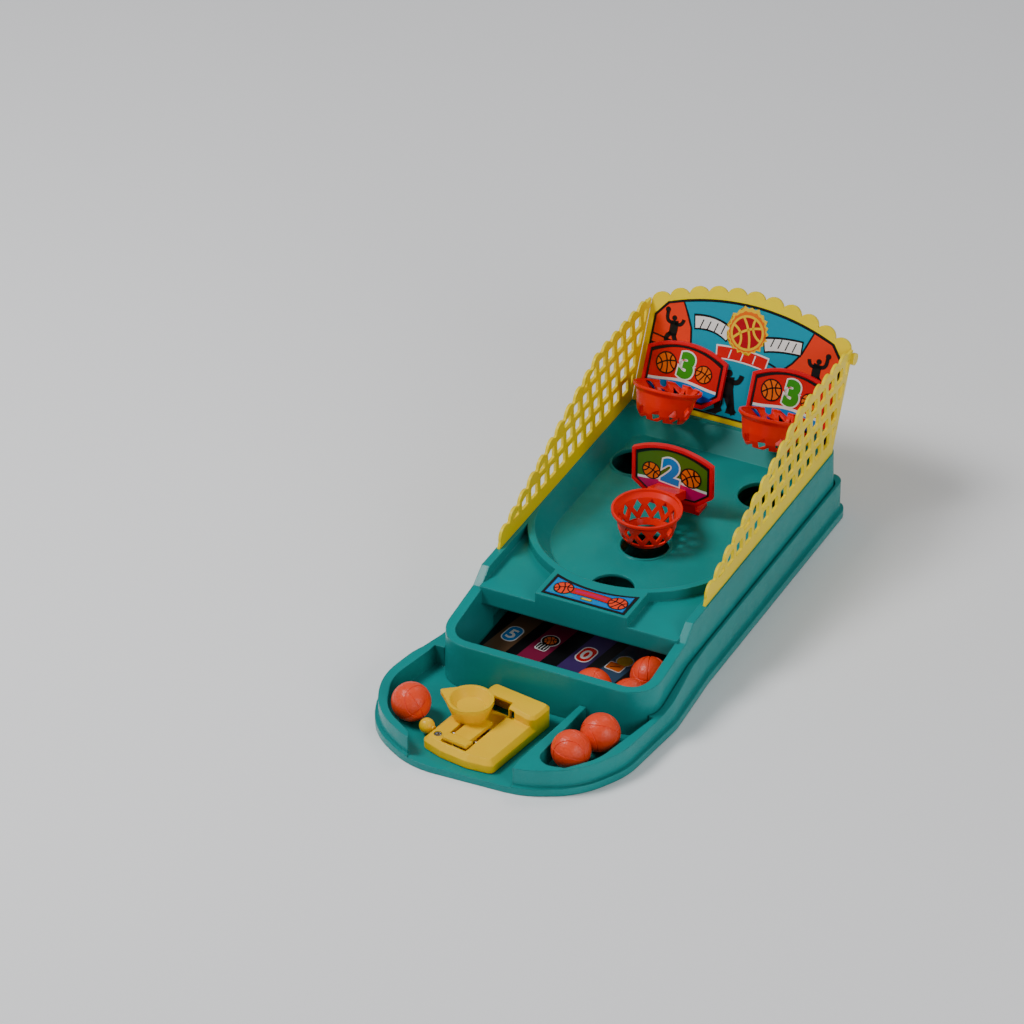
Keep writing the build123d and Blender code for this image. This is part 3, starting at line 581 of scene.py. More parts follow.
@dataclass
class Artwork:
    """A print in several inks on one sheet, built up in thin layers that ride on one body."""

    name: str
    sheet: Sheet
    body: str = "base"
    slot: str = "printed_label"
    step: float = 0.05
    shapes: list[tuple[Paint, int, list[Point]]] = field(default_factory=list)
    digits: list[tuple[Paint, int, str, Point, float, float, float]] = field(default_factory=list)

    def add(self, ink: Paint, level: int, *outlines: Sequence[Point]) -> None:
        """Add closed outlines in one ink at a layer."""
        for outline in outlines:
            self.shapes.append((ink, level, list(outline)))

    def digit(
        self, ink: Paint, level: int, text: str, at: Point, high: float, fat: float, turn: float = 0.0
    ) -> None:
        """Add a plain digit.

        Args:
            ink: Its ink.
            level: Its layer.
            text: The digit.
            at: Its centre in millimetres.
            high: Its height.
            fat: How far its outline is thickened.
            turn: Its lean in degrees.
        """
        self.digits.append((ink, level, text, at, high, fat, turn))

    def ball(self, at: Point, radius: float, level: int, skin: Paint, line: Paint, turn: float) -> None:
        """Add a printed basketball with a rim and four seams.

        Args:
            at: Its centre in millimetres.
            radius: Its radius.
            level: Its lowest layer.
            skin: Ink of the ball.
            line: Ink of the seams.
            turn: Its roll in degrees.
        """
        x, y = at
        pen = max(0.6, radius * 0.13)
        self.add(line, level, disc(x, y, radius))
        self.add(skin, level + 1, disc(x, y, radius - pen))
        reach = radius - pen / 2
        seams = [
            [(-reach, -0.10 * radius), (0, 0.16 * radius), (reach, 0.05 * radius)],
            [(-0.12 * radius, -reach), (0.10 * radius, 0), (0.0, reach)],
        ]
        for side, facing in ((-1, 0), (1, 180)):
            seams.append([
                (px + side * 1.25 * radius, py)
                for px, py in arc(0, 0, 0.86 * radius, facing - 52, facing + 52)
            ])
        c, s = math.cos(math.radians(turn)), math.sin(math.radians(turn))
        for seam in seams:
            smooth = bend(seam) if len(seam) == 3 else seam
            spun = [(x + px * c - py * s, y + px * s + py * c) for px, py in smooth]
            self.add(line, level + 2, stroke(spun, pen))

    def build(self, shelf: "Finishes") -> bpy.types.Object:
        """Make the mesh and publish it.

        Args:
            shelf: The toy's materials.

        Returns:
            The piece.
        """
        inks: list[Paint] = []
        bm = bmesh.new()
        for ink, level, outline in self.shapes:
            if ink not in inks:
                inks.append(ink)
            self._slab(bm, outline, level, inks.index(ink))
        for ink, level, text, at, high, fat, turn in self.digits:
            if ink not in inks:
                inks.append(ink)
            self._glyph(bm, text, at, high, fat, turn, level, inks.index(ink))
        mesh = bpy.data.meshes.new(self.name)
        bm.to_mesh(mesh)
        bm.free()
        piece = bpy.data.objects.new(self.name, mesh)
        bpy.context.scene.collection.objects.link(piece)
        for ink in inks:
            mesh.materials.append(shelf.ink(ink))
        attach(piece, self.body)
        log.info("%s: %d inks, %d faces", self.name, len(inks), len(mesh.polygons))
        return piece

    def _slab(self, bm: bmesh.types.BMesh, outline: Sequence[Point], level: int, ink: int) -> None:
        """Add one thin flat shape."""
        foot, top = -0.02, self.step * (level + 1)
        area = sum(
            x0 * y1 - x1 * y0 for (x0, y0), (x1, y1) in zip(outline, list(outline[1:]) + [outline[0]])
        )
        ring = list(outline) if area > 0 else list(outline)[::-1]
        low = [bm.verts.new(self.sheet.at(x, y, foot)) for x, y in ring]
        high = [bm.verts.new(self.sheet.at(x, y, top)) for x, y in ring]
        faces = [bm.faces.new(high), bm.faces.new(low[::-1])]
        for i in range(len(ring)):
            j = (i + 1) % len(ring)
            faces.append(bm.faces.new((low[i], low[j], high[j], high[i])))
        for face in faces:
            face.material_index = ink
        bmesh.ops.triangulate(bm, faces=faces[:2])

    def _glyph(
        self,
        bm: bmesh.types.BMesh,
        text: str,
        at: Point,
        high: float,
        fat: float,
        turn: float,
        level: int,
        ink: int,
    ) -> None:
        """Add one digit as a thin solid."""
        curve = bpy.data.curves.new("digit", "FONT")
        curve.body = text
        curve.align_x = "CENTER"
        curve.size = high * 1.42
        curve.offset = fat
        curve.extrude = self.step * (level + 1) / 2
        curve.resolution_u = 5
        holder = bpy.data.objects.new("digit", curve)
        bpy.context.scene.collection.objects.link(holder)
        graph = bpy.context.evaluated_depsgraph_get()
        mesh = bpy.data.meshes.new_from_object(holder.evaluated_get(graph))
        bpy.data.objects.remove(holder)
        place = Matrix.Translation((at[0], at[1], self.step * (level + 1) / 2))
        drop = Matrix.Translation((0, -high / 2, 0))
        unit = Matrix.Diagonal((MM, MM, MM, 1))
        roll = Matrix.Rotation(math.radians(turn), 4, "Z")
        mesh.transform(self.sheet.matrix() @ unit @ place @ roll @ drop)
        before = len(bm.faces)
        bm.from_mesh(mesh)
        bm.faces.ensure_lookup_table()
        for face in bm.faces[before:]:
            face.material_index = ink
        bpy.data.meshes.remove(mesh)


def bend(line: Sequence[Point], count: int = 12) -> list[Point]:
    """Smooth curve through three points.

    Args:
        line: The three points.
        count: Number of steps along it.

    Returns:
        Points along the curve.
    """
    (x0, y0), (x1, y1), (x2, y2) = line
    cx, cy = 2 * x1 - (x0 + x2) / 2, 2 * y1 - (y0 + y2) / 2
    points = []
    for i in range(count + 1):
        t = i / count
        u = 1 - t
        points.append((
            u * u * x0 + 2 * u * t * cx + t * t * x2,
            u * u * y0 + 2 * u * t * cy + t * t * y2,
        ))
    return points


def grown(
    piece_name: str, group: bpy.types.NodeTree, base: bpy.types.Mesh, values: dict[str, object]
) -> bpy.types.Mesh:
    """Plain mesh from a Geometry Nodes tree.

    Args:
        piece_name: Name of the result.
        group: The tree.
        base: Mesh that the tree starts from.
        values: Input name to value.

    Returns:
        The evaluated mesh.
    """
    holder = bpy.data.objects.new(piece_name + "_grower", base)
    bpy.context.scene.collection.objects.link(holder)
    modifier = holder.modifiers.new("grow", "NODES")
    modifier.node_group = group
    for item in group.interface.items_tree:
        if item.item_type == "SOCKET" and item.in_out == "INPUT" and item.name in values:
            modifier[item.identifier] = values[item.name]
    graph = bpy.context.evaluated_depsgraph_get()
    mesh = bpy.data.meshes.new_from_object(holder.evaluated_get(graph))
    mesh.name = piece_name
    holder.modifiers.remove(modifier)
    bpy.data.objects.remove(holder)
    return mesh


class Grower:
    """Builds a Geometry Nodes tree with named inputs."""

    def __init__(self, name: str, inputs: dict[str, tuple[str, float]]) -> None:
        """Start a tree.

        Args:
            name: Its name.
            inputs: Input name to socket type and default.
        """
        self.tree = bpy.data.node_groups.new(name, "GeometryNodeTree")
        face = self.tree.interface
        face.new_socket("Geometry", in_out="INPUT", socket_type="NodeSocketGeometry")
        for key, (kind, value) in inputs.items():
            face.new_socket(key, in_out="INPUT", socket_type=kind).default_value = value
        face.new_socket("Geometry", in_out="OUTPUT", socket_type="NodeSocketGeometry")
        self.given = self.tree.nodes.new("NodeGroupInput")

    def node(
        self,
        kind: str,
        settings: dict[str, object] | None = None,
        inputs: dict[object, object] | None = None,
    ) -> bpy.types.Node:
        """Add one node with its settings, values and links."""
        made = self.tree.nodes.new(kind)
        for key, value in (settings or {}).items():
            setattr(made, key, value)
        for key, value in (inputs or {}).items():
            if isinstance(value, bpy.types.NodeSocket):
                self.tree.links.new(value, made.inputs[key])
            else:
                made.inputs[key].default_value = value
        return made

    def close(self, geometry: bpy.types.NodeSocket, material: bpy.types.Material) -> bpy.types.NodeTree:
        """End the tree in Realize Instances and Set Material."""
        real = self.node("GeometryNodeRealizeInstances", None, {0: geometry})
        dressed = self.node("GeometryNodeSetMaterial", None, {0: real.outputs[0], "Material": material})
        self.node("NodeGroupOutput", None, {0: dressed.outputs[0]})
        return self.tree


# ---------------------------------------------------------------- the toy
@dataclass
class MouldedParts:
    """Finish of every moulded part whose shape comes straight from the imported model."""

    shells: tuple[str, ...] = ("base_shell", "playfield_deck", "bottom_cover", "return_ramp")
    fences: tuple[str, ...] = ("left_fence", "right_fence", "back_panel", "corner_pins")
    launcher: tuple[str, ...] = ("launcher_housing", "launch_lever", "aim_knob")
    hoops: tuple[str, ...] = ("left_basket", "right_basket", "middle_basket")
    boards: tuple[str, ...] = ("left_backboard", "right_backboard", "middle_backboard", "middle_post")
    steel: tuple[str, ...] = ("housing_screw", "lever_pin", "swivel_washer", "swivel_screw")
    prints: tuple[str, ...] = (
        "backdrop_card", "score_label", "deck_label", "left_board_sticker", "right_board_sticker",
        "middle_board_sticker",
    )

    def dress(self, nodes: dict[str, bpy.types.Object], shelf: Finishes) -> None:
        """Give each part its finish.

        Args:
            nodes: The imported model's objects.
            shelf: The toy's materials.
        """
        plan = [
            (self.shells, shelf.get(TEAL_SHELL)),
            (self.fences, shelf.get(FENCE_PLASTIC)),
            (self.launcher, shelf.get(LAUNCHER_PLASTIC)),
            (self.hoops, shelf.get(HOOP_PLASTIC)),
            (self.boards, shelf.get(BOARD_PLASTIC)),
            (self.steel, shelf.get(SCREW_STEEL)),
            (self.prints, shelf.ink(Paint.BLACK)),
            (tuple(n for n in nodes if n.endswith("_ball")), shelf.get(BALL_SKIN)),
        ]
        for names, material in plan:
            for name in names:
                mesh = nodes[name].data
                mesh.materials.clear()
                mesh.materials.append(material)
                log.info("%s: %s", name, material.name)


@dataclass
class Backdrop:
    """Printed card on the leaning back panel: sky panels, corner players, a flaming ball."""

    lean: float = 25.4
    foot_y: float = 195.8
    foot_z: float = 57.6
    card: float = 0.5
    half: float = 74.5

    def sheet(self) -> Sheet:
        """Front face of the card, its origin at the panel's foot."""
        a = math.radians(self.lean)
        up = Vector((0, math.sin(a), math.cos(a)))
        out = Vector((0, -math.cos(a), math.sin(a)))
        origin = Vector((0, self.foot_y, self.foot_z)) * MM + out * self.card * MM
        return Sheet(origin, Vector((1, 0, 0)), up)

    def top(self, x: float, inset: float) -> float:
        """Height of the card's arch above a place across it."""
        return 89.5 - inset - 12.5 * (x / 66.0) ** 2

    def player(self, art: Artwork, at: Point, size: float, flip: int) -> None:
        """Add a plain pictogram of a player who holds a ball up.

        Args:
            art: The artwork.
            at: Place of the hips.
            size: Height of the figure.
            flip: 1 to hold the ball on the right, -1 on the left.
        """
        x, y = at
        k = size / 30.0

        def limb(points: Sequence[Point], width: float) -> None:
            """Add one limb."""
            placed = [(x + flip * px * k, y + py * k) for px, py in points]
            art.add(Paint.BLACK, 2, stroke(bend(placed), width * k))

        art.add(Paint.BLACK, 2, disc(x + flip * 0.5 * k, y + 14.2 * k, 2.3 * k, 18))
        art.add(Paint.BLACK, 2, disc(x + flip * 7.6 * k, y + 20.0 * k, 2.4 * k, 18))
        limb([(0, -0.6), (-0.4, 5.5), (0.2, 12)], 7.4)
        limb([(0.6, 10.4), (6.0, 11.4), (7.2, 18.4)], 3.2)
        limb([(0.0, 10.4), (-5.6, 9.8), (-8.0, 14.6)], 3.2)
        limb([(0.8, 1.2), (4.6, -3.6), (2.0, -10.4)], 4.2)
        limb([(-0.8, 1.2), (-3.8, -4.8), (-7.4, -9.6)], 4.2)

    def build(self, shelf: Finishes) -> None:
        """Make the card's print."""
        art = Artwork("backdrop_print", self.sheet(), slot="printed_card")
        edge = 1.9
        steps = [-64.6 + 129.2 * i / 20 for i in range(21)]
        field_outline = [(-self.half + edge, 5.2), (self.half - edge, 5.2), (self.half - edge, 65.4)]
        field_outline += [(x, self.top(x, edge)) for x in steps[::-1]] + [(-self.half + edge, 65.4)]
        art.add(Paint.CARD_BLUE, 0, field_outline)
        left = [(-self.half + edge, 46), (-44, 43), (-43.2, 52), (-45, 62), (-49.5, 71)]
        left += [(x, self.top(x, edge)) for x in (-54, -64.6)] + [(-self.half + edge, 65.4)]
        right = [(self.half - edge, 40), (self.half - edge, 65.4), (64.6, self.top(64.6, edge))]
        right += [(50, self.top(50, edge)), (44, 64), (38, 55), (30, 47), (33, 44)]
        for outline in (left, right):
            art.add(Paint.BLACK, 1, stroke(outline + outline[:1], 3.0))
            art.add(Paint.CARD_RED, 2, outline)
        for line in (
            [(0, 70), (0.5, 79), (0, 88)],
            [(-44, 44), (-30, 41), (-18, 47)],
            [(14, 52), (24, 50), (31, 46)],
            [(-14, 6), (-10, 16), (-16, 34)],
            [(18, 6), (14, 18), (20, 40)],
        ):
            art.add(Paint.BLACK, 1, stroke(bend(line), 1.5))
        ribs = [[(-self.half + edge, 52), (-60, 50), (-44, 47)], [(self.half - edge, 50), (56, 47), (34, 46)]]
        for line in ribs:
            art.add(Paint.BLACK, 3, stroke(bend(line), 1.2))
        for shape in self.shapes_in_black():
            art.add(Paint.BLACK, 3, shape)
        self.figures(art)
        self.ribbons(art)
        self.flaming_ball(art, (-1, 69.0), 13.0)
        art.build(shelf)

    def shapes_in_black(self) -> list[list[Point]]:
        """Black wedges where the panels meet the boards."""
        return [[(-6, 8), (2, 8), (-3, 26)], [(-22, 5.5), (-12, 5.5), (-14, 10)]]

    def figures(self, art: Artwork) -> None:
        """Add the three players."""
        lifted = Artwork("figures", art.sheet)
        self.player(lifted, (-58, 54), 26, -1)
        self.player(lifted, (57, 49), 27, 1)
        self.player(lifted, (-8, 20), 36, -1)
        for ink, level, outline in lifted.shapes:
            art.add(ink, level + 1, outline)

    def ribbons(self, art: Artwork) -> None:
        """Add the white ribbons at the ball's sides and the red one below it."""
        for side in (-1, 1):
            wave = bend([(side * 13, 63.5), (side * 27, 67.5 - side * 1.0), (side * 43, 67.5)])
            art.add(Paint.BLACK, 4, stroke(wave, 11.5))
            inner = bend([(side * 14, 63.6), (side * 27, 67.4 - side * 1.0), (side * 42, 67.5)])
            art.add(Paint.WHITE, 5, stroke(inner, 8.6))
            for i in range(1, 5):
                px = side * (14 + 5.7 * i)
                art.add(Paint.BLACK, 6, stroke([(px - 1.0, 63.4), (px + 1.0, 70.6)], 0.9))
        art.add(Paint.WHITE, 4, stroke(bend([(-22, 50.4), (-2, 51.6), (19, 49.8)]), 10.4))
        art.add(Paint.PRINT_RED, 5, stroke(bend([(-21, 50.4), (-2, 51.6), (18, 49.8)]), 8.4))
        for i in range(3):
            px = -11 + 9.6 * i
            art.add(Paint.WHITE, 6, stroke([(px - 0.6, 47.8), (px + 0.6, 54.2)], 0.9))

    def flaming_ball(self, art: Artwork, at: Point, radius: float) -> None:
        """Add the ball in its halo of flames.

        Args:
            art: The artwork.
            at: The ball's centre.
            radius: Its radius.
        """
        x, y = at
        flame: list[Point] = []
        core: list[Point] = []
        for i in range(44):
            turn = 2 * math.pi * i / 44
            lift = max(0.0, math.sin(turn)) ** 2 * 3.4
            spike = (2.9 if i % 2 else 0.6) * (0.5 + 0.5 * abs(math.sin(2.3 * i))) + lift
            reach = radius + 0.8 + spike
            flame.append((x + reach * math.cos(turn), y + reach * math.sin(turn)))
            core.append((
                x + (radius + 0.5 + spike * 0.45) * math.cos(turn),
                y + (radius + 0.5 + spike * 0.45) * math.sin(turn),
            ))
        art.add(Paint.FLAME, 7, flame)
        art.add(Paint.ORANGE, 8, core)
        art.ball(at, radius, 9, Paint.BALL_CRIMSON, Paint.FLAME, 24)


class BoardKind(Enum):
    """The two printed backboards."""

    THREE = "3"
    TWO = "2"


@dataclass
class BoardPrint:
    """Sticker on a backboard: field, wave, two basketballs and a plain digit."""

    name: str
    kind: BoardKind
    origin: Vector
    up: Vector
    half: float = 31.75
    arch: float = 45.2
    shoulder: float = 36.7

    def edge(self, inset: float) -> list[Point]:
        """Outline of the board, pulled in.

        Args:
            inset: How far.

        Returns:
            The outline in millimetres.
        """
        side = self.half - inset
        rise = self.arch - self.shoulder
        steps = [side * (1 - 2 * i / 16) for i in range(17)]
        arch = [(x, self.arch - inset - (rise - 0.12 * inset) * (x / side) ** 2) for x in steps]
        foot = 19 - 0.345 * inset
        return [(-foot, inset), (foot, inset), (side, 10 + 0.487 * inset), *arch, (-side, 10 + 0.487 * inset)]

    def cut(self, outline: Sequence[Point], line: Callable[[float], float]) -> list[Point]:
        """Part of an outline below a line.

        Args:
            outline: The outline.
            line: Height of the line at a place across.

        Returns:
            The lower part, with the line as its top.
        """
        side = max(x for x, y in outline)
        low = [(x, y) for x, y in outline if y < line(x)]
        steps = [side * (1 - 2 * i / 14) for i in range(15)]
        right = [p for p in low if p[0] > 0]
        left = [p for p in low if p[0] < 0]
        right.sort(key=lambda p: p[1])
        left.sort(key=lambda p: -p[1])
        return right + [(x, line(x)) for x in steps] + left

    def build(self, shelf: Finishes) -> None:
        """Make the sticker's print."""
        art = Artwork(self.name, Sheet(self.origin, Vector((1, 0, 0)), self.up))
        field_edge = self.edge(4.5)
        three = self.kind is BoardKind.THREE
        art.add(Paint.PRINT_RED if three else Paint.OLIVE_GREEN, 0, field_edge)

        def crest(x: float) -> float:
            """Top of the white band."""
            return 16.4 + 1.5 * math.cos(x / 9.0)

        def water(x: float) -> float:
            """Top of the lower field."""
            return 14.4 + 1.5 * math.cos(x / 9.0)

        art.add(Paint.WHITE, 1, self.cut(field_edge, crest))
        art.add(Paint.SKY_BLUE if three else Paint.MAGENTA, 2, self.cut(field_edge, water))
        if three:
            art.add(Paint.DEEP_BLUE, 3, self.cut(field_edge, lambda x: 9.0 + 1.2 * math.sin(x / 7.0)))
            art.ball((-15.0, 27.0), 8.3, 3, Paint.ORANGE, Paint.BLACK, 18)
            art.ball((15.2, 25.0), 6.8, 3, Paint.ORANGE, Paint.BLACK, -24)
            art.digit(Paint.WHITE, 6, "3", (1.2, 28.6), 17.0, 2.7, -4)
            art.digit(Paint.LEAF_GREEN, 7, "3", (1.2, 28.6), 17.0, 1.6, -4)
        else:
            art.ball((-16.4, 21.2), 7.3, 3, Paint.ORANGE, Paint.BLACK, -30)
            art.ball((14.6, 23.0), 8.4, 3, Paint.ORANGE, Paint.BLACK, 26)
            art.digit(Paint.WHITE, 6, "2", (-1.0, 24.8), 18.6, 2.7, -6)
            art.digit(Paint.SKY_BLUE, 7, "2", (-1.0, 24.8), 18.6, 1.6, -6)
        art.build(shelf)


@dataclass
class ScoreLabel:
    """Print on the floor of the trough: four leaning lanes, each with its mark."""

    top: float = 5.4
    front: float = -109.0
    back: float = -12.0
    lean: float = 0.17
    marks_y: float = -44.0

    def lane(self, x: float, wide: float) -> list[Point]:
        """One leaning lane.

        Args:
            x: Its middle at the height of the marks.
            wide: Its width.

        Returns:
            The outline.
        """
        ends = [(y, x + self.lean * (y - self.marks_y)) for y in (self.front, self.back)]
        (y0, x0), (y1, x1) = ends
        return [(x0 - wide / 2, y0), (x0 + wide / 2, y0), (x1 + wide / 2, y1), (x1 - wide / 2, y1)]

    def build(self, shelf: Finishes) -> None:
        """Make the label's print."""
        sheet = Sheet(Vector((0, 0, self.top)) * MM, Vector((1, 0, 0)), Vector((0, 1, 0)))
        art = Artwork("score_print", sheet)
        lanes = [(-58.0, Paint.BROWN), (-31.0, Paint.MAROON), (0.0, Paint.PURPLE), (27.0, Paint.NAVY)]
        for x, ink in lanes:
            art.add(ink, 0, self.lane(x, 18.0))
        y = self.marks_y
        for (x, ink), paint, digit in ((lanes[0], Paint.SKY_BLUE, "5"), (lanes[2], Paint.PRINT_RED, "0")):
            art.add(Paint.WHITE, 1, rounded(x, y, 12.4, 19.4, 5.6, -8))
            art.add(paint, 2, rounded(x, y, 10.6, 17.6, 4.8, -8))
            art.digit(Paint.WHITE, 3, digit, (x, y), 10.5, 0.35, -8)
        x = lanes[1][0]
        art.add(Paint.WHITE, 1, disc(x + 1, y + 4, 7.0), rounded(x - 1, y - 5, 9.6, 9.0, 2.0, -8))
        art.add(Paint.BLACK, 2, disc(x + 1, y + 4, 6.2), rounded(x - 1, y - 5, 8.2, 7.6, 1.6, -8))
        art.ball((x + 1, y + 4), 5.2, 3, Paint.ORANGE, Paint.BLACK, 20)
        for i in range(3):
            art.add(Paint.WHITE, 3, stroke([(x - 4.0 + 2.4 * i, y - 8), (x - 2.6 + 2.4 * i, y - 2)], 0.7))
        x = lanes[3][0] - 1.0
        art.add(Paint.WHITE, 1, disc(x + 2, y + 4.4, 6.6), rounded(x - 1.5, y - 4.6, 13.4, 9.8, 1.6, -8))
        art.add(Paint.FLAME, 2, disc(x + 2, y + 4.4, 5.7))
        art.add(Paint.ORANGE, 3, rounded(x - 1.5, y - 4.6, 11.8, 8.2, 1.2, -8))
        art.add(Paint.BLACK, 4, stroke([(x - 5, y - 5.6), (x + 2, y - 3.2)], 0.8))
        art.build(shelf)


@dataclass
class DeckLabel:
    """Print on the raised block in front of the dish: two balls joined by a band."""

    top: float = 58.0

    def build(self, shelf: Finishes) -> None:
        """Make the label's print."""
        sheet = Sheet(Vector((0, 0, self.top)) * MM, Vector((1, 0, 0)), Vector((0, 1, 0)))
        art = Artwork("deck_print", sheet)
        arch = [(32.6 - 59.2 * i / 12, -34.9 - 2.6 * (1 - ((i - 6) / 6) ** 2) * 2.1) for i in range(13)]
        art.add(Paint.SKY_BLUE, 0, [(-27.4, -54.4), (32.4, -54.4), *arch])
        art.add(Paint.CARD_BLUE, 1, [(-25, -53), (-6, -53), (-14, -45), (-26, -44)])
        art.add(Paint.BLACK, 2, stroke(bend([(-17, -46.0), (4, -45.0), (25, -46.6)]), 7.6))
        art.add(Paint.PRINT_RED, 3, stroke(bend([(-17, -46.0), (4, -45.0), (25, -46.6)]), 6.2))
        art.add(Paint.MAGENTA, 4, stroke(bend([(-8, -45.4), (4, -44.8), (16, -45.6)]), 2.2))
        art.ball((-17.3, -45.4), 7.4, 4, Paint.BALL_RED, Paint.BLACK, 20)
        art.ball((25.1, -46.4), 7.4, 4, Paint.BALL_RED, Paint.BLACK, -20)
        art.add(Paint.OLIVE_GREEN, 3, rounded(3, -51.4, 9.0, 3.0, 1.2))
        art.add(Paint.FLAME, 4, rounded(3, -51.3, 7.4, 1.6, 0.7))
        art.build(shelf)


@dataclass
class LeverSpring:
    """Coil spring under the press pad."""

    foot: float = 0.0078
    radius: float = 0.00275
    wire: float = 0.00035
    turns: float = 5.0

    def build(self, shelf: Finishes) -> None:
        """Make the coil in place of its plain sleeve."""
        low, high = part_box("lever_spring")
        metal = shelf.get(SCREW_STEEL)
        g = Grower("coil_spring", {
            "Radius": ("NodeSocketFloat", self.radius),
            "Wire": ("NodeSocketFloat", self.wire),
            "Height": ("NodeSocketFloat", 0.007),
            "Turns": ("NodeSocketFloat", self.turns),
            "Foot": ("NodeSocketVector", (0.0, 0.0, 0.0)),
        })
        given = g.given.outputs
        coil = g.node("GeometryNodeCurveSpiral", None, {
            "Resolution": 22, "Rotations": given["Turns"], "Start Radius": given["Radius"],
            "End Radius": given["Radius"], "Height": given["Height"],
        })
        ring = g.node("GeometryNodeCurvePrimitiveCircle", None, {"Resolution": 8, "Radius": given["Wire"]})
        tube = g.node("GeometryNodeCurveToMesh", None, {
            0: coil.outputs[0], 1: ring.outputs[0], "Fill Caps": True,
        })
        moved = g.node("GeometryNodeTransform", None, {0: tube.outputs[0], "Translation": given["Foot"]})
        tree = g.close(moved.outputs[0], metal)
        centre = (low + high) / 2
        base = bpy.data.meshes.new("coil_seed")
        mesh = grown("spring_coil", tree, base, {
            "Radius": self.radius,
            "Wire": self.wire,
            "Height": high.z - low.z - 2 * self.wire,
            "Turns": self.turns,
            "Foot": (centre.x, centre.y, low.z + self.wire),
        })
        piece = publish("spring_coil", mesh, metal, "launcher")
        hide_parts("lever_spring")
        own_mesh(piece)


@dataclass
class CoverScrews:
    """Cross-head screws that hold the bottom cover."""

    places: tuple[Point, ...] = ((-70, 195), (70, 195), (-74, 20), (74, 20), (-84, -120), (78, -120))
    head: float = 0.0016

    def build(self, shelf: Finishes) -> None:
        """Make the screws in place of their plain pins."""
        metal = shelf.get(SCREW_STEEL)
        low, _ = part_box("cover_screws")
        g = Grower("cover_screws_tree", {
            "Head Radius": ("NodeSocketFloat", self.head),
            "Shank Radius": ("NodeSocketFloat", 0.0012),
        })
        given = g.given.outputs
        head = g.node("GeometryNodeMeshCylinder", None, {
            "Vertices": 28, "Side Segments": 1, "Radius": given["Head Radius"], "Depth": 0.001,
        })
        cuts = []
        for size in ((0.0022, 0.0005, 0.0012), (0.0005, 0.0022, 0.0012)):
            slot = g.node("GeometryNodeMeshCube", None, {"Size": size})
            cuts.append(g.node("GeometryNodeTransform", None, {
                0: slot.outputs[0], "Translation": (0.0, 0.0, -0.0007),
            }))
        cross = g.node("GeometryNodeMeshBoolean", {"operation": "DIFFERENCE"}, {0: head.outputs[0]})
        for cut in cuts:
            g.tree.links.new(cut.outputs[0], cross.inputs[1])
        shank = g.node("GeometryNodeMeshCylinder", None, {
            "Vertices": 20, "Side Segments": 1, "Radius": given["Shank Radius"], "Depth": 0.0018,
        })
        raised = g.node("GeometryNodeTransform", None, {
            0: shank.outputs[0], "Translation": (0.0, 0.0, 0.0014),
        })
        screw = g.node("GeometryNodeJoinGeometry")
        for part in (cross, raised):
            g.tree.links.new(part.outputs[0], screw.inputs[0])
        spread = g.node("GeometryNodeInstanceOnPoints", None, {
            "Points": g.given.outputs["Geometry"], "Instance": screw.outputs[0],
        })
        tree = g.close(spread.outputs[0], metal)
        seed = bpy.data.meshes.new("screw_places")
        seed.from_pydata([(x * MM, y * MM, low.z + 0.0005) for x, y in self.places], [], [])
        mesh = grown("cover_screw_set", tree, seed, {"Head Radius": self.head})
        piece = publish("cover_screw_set", mesh, metal, "base")
        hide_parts("cover_screws")


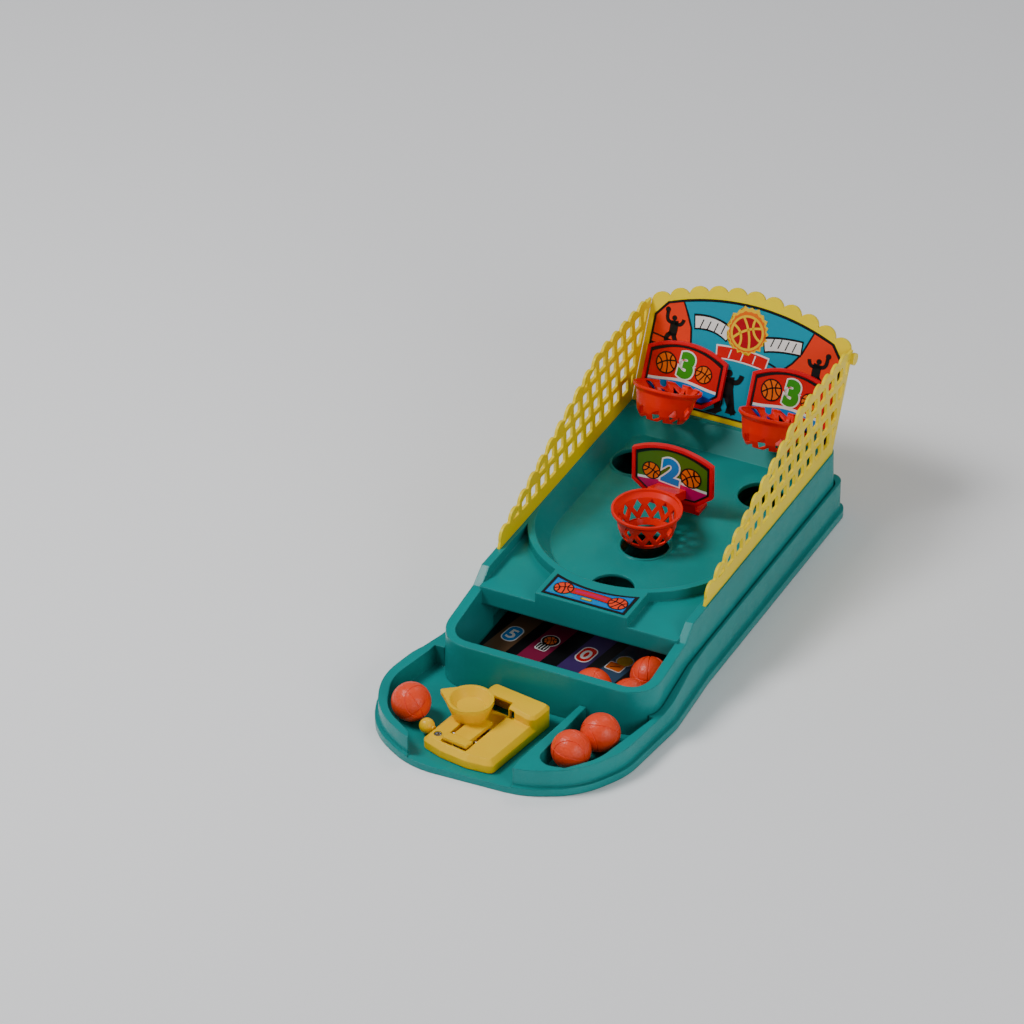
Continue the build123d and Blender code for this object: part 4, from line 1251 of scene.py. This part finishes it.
@dataclass
class Studio:
    """Pale floor, soft lights and the camera."""

    target: tuple[float, float, float] = (-0.0910, 0.0220, 0.0595)
    back: tuple[float, float, float] = (0.3674, -0.7440, 0.5582)
    distance: float = 4.614
    lens: float = 228.0
    sensor: float = 36.0
    sky: float = 0.21

    def light(self, name: str, place: tuple[float, float, float], size: float, power: float) -> None:
        """Add one soft square light aimed at the toy.

        Args:
            name: Its name.
            place: Where it hangs.
            size: Its side in metres.
            power: Its power in watts.
        """
        lamp = bpy.data.lights.new(name, "AREA")
        lamp.shape = "SQUARE"
        lamp.size = size
        lamp.energy = power
        holder = bpy.data.objects.new(name, lamp)
        holder.location = place
        aim = Vector((0.0, 0.0, 0.05)) - Vector(place)
        holder.rotation_euler = aim.to_track_quat("-Z", "Y").to_euler()
        bpy.context.scene.collection.objects.link(holder)

    def build(self) -> None:
        """Make the floor, the lights, the sky and the camera."""
        mesh = bpy.data.meshes.new("studio_floor")
        corners = ((-6, -6), (6, -6), (6, 6), (-6, 6))
        mesh.from_pydata([(x, y, -0.0002) for x, y in corners], [], [(0, 1, 2, 3)])
        floor = bpy.data.objects.new("studio_floor", mesh)
        bpy.context.scene.collection.objects.link(floor)
        shader = Shader("studio_paper")
        cloud = shader.noise(3.0, 2.0, 0.5)
        tone = Paint.FLOOR.value
        paler = tuple(c * 1.03 for c in tone)
        mesh.materials.append(shader.close({"Base Color": shader.mix(cloud, tone, paler), "Roughness": 0.8}))
        self.light("key", (-1.0, -0.5, 1.6), 0.6, 27.0)
        self.light("fill", (1.7, -0.9, 0.9), 1.0, 16.0)
        self.light("top", (0.1, 1.2, 1.7), 0.7, 5.0)
        world = bpy.data.worlds.new("studio_sky")
        world.use_nodes = True
        sky = world.node_tree.nodes["Background"]
        sky.inputs["Color"].default_value = (0.93, 0.95, 1.0, 1.0)
        sky.inputs["Strength"].default_value = self.sky
        bpy.context.scene.world = world
        lens = bpy.data.cameras.new("camera")
        lens.lens = self.lens
        lens.sensor_width = self.sensor
        lens.clip_start = 0.1
        lens.clip_end = 30.0
        camera = bpy.data.objects.new("camera", lens)
        back = Vector(self.back).normalized()
        camera.location = Vector(self.target) + back * self.distance
        camera.rotation_euler = back.to_track_quat("Z", "Y").to_euler()
        bpy.context.scene.collection.objects.link(camera)
        bpy.context.scene.camera = camera


def dress_boards(shelf: Finishes) -> None:
    """Print the three backboards."""
    card = Backdrop().sheet()
    foot, thick, sticker = 6.5, 2.5, 0.4
    for name, side in (("left_board_print", -1), ("right_board_print", 1)):
        origin = card.at(side * 42.0, foot, thick + sticker)
        BoardPrint(name, BoardKind.THREE, origin, card.up).build(shelf)
    low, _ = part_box("middle_board_sticker")
    BoardPrint("middle_board_print", BoardKind.TWO, Vector((0, low.y, 0.052)), Vector((0, 0, 1))).build(shelf)


def main() -> None:
    """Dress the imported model."""
    logging.basicConfig(level=logging.INFO, format="%(message)s")
    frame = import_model()
    shelf = Finishes()
    Studio().build()
    MouldedParts().dress(frame["nodes"], shelf)
    Backdrop().build(shelf)
    dress_boards(shelf)
    ScoreLabel().build(shelf)
    DeckLabel().build(shelf)
    LeverSpring().build(shelf)
    CoverScrews().build(shelf)


if __name__ == "__main__":
    main()
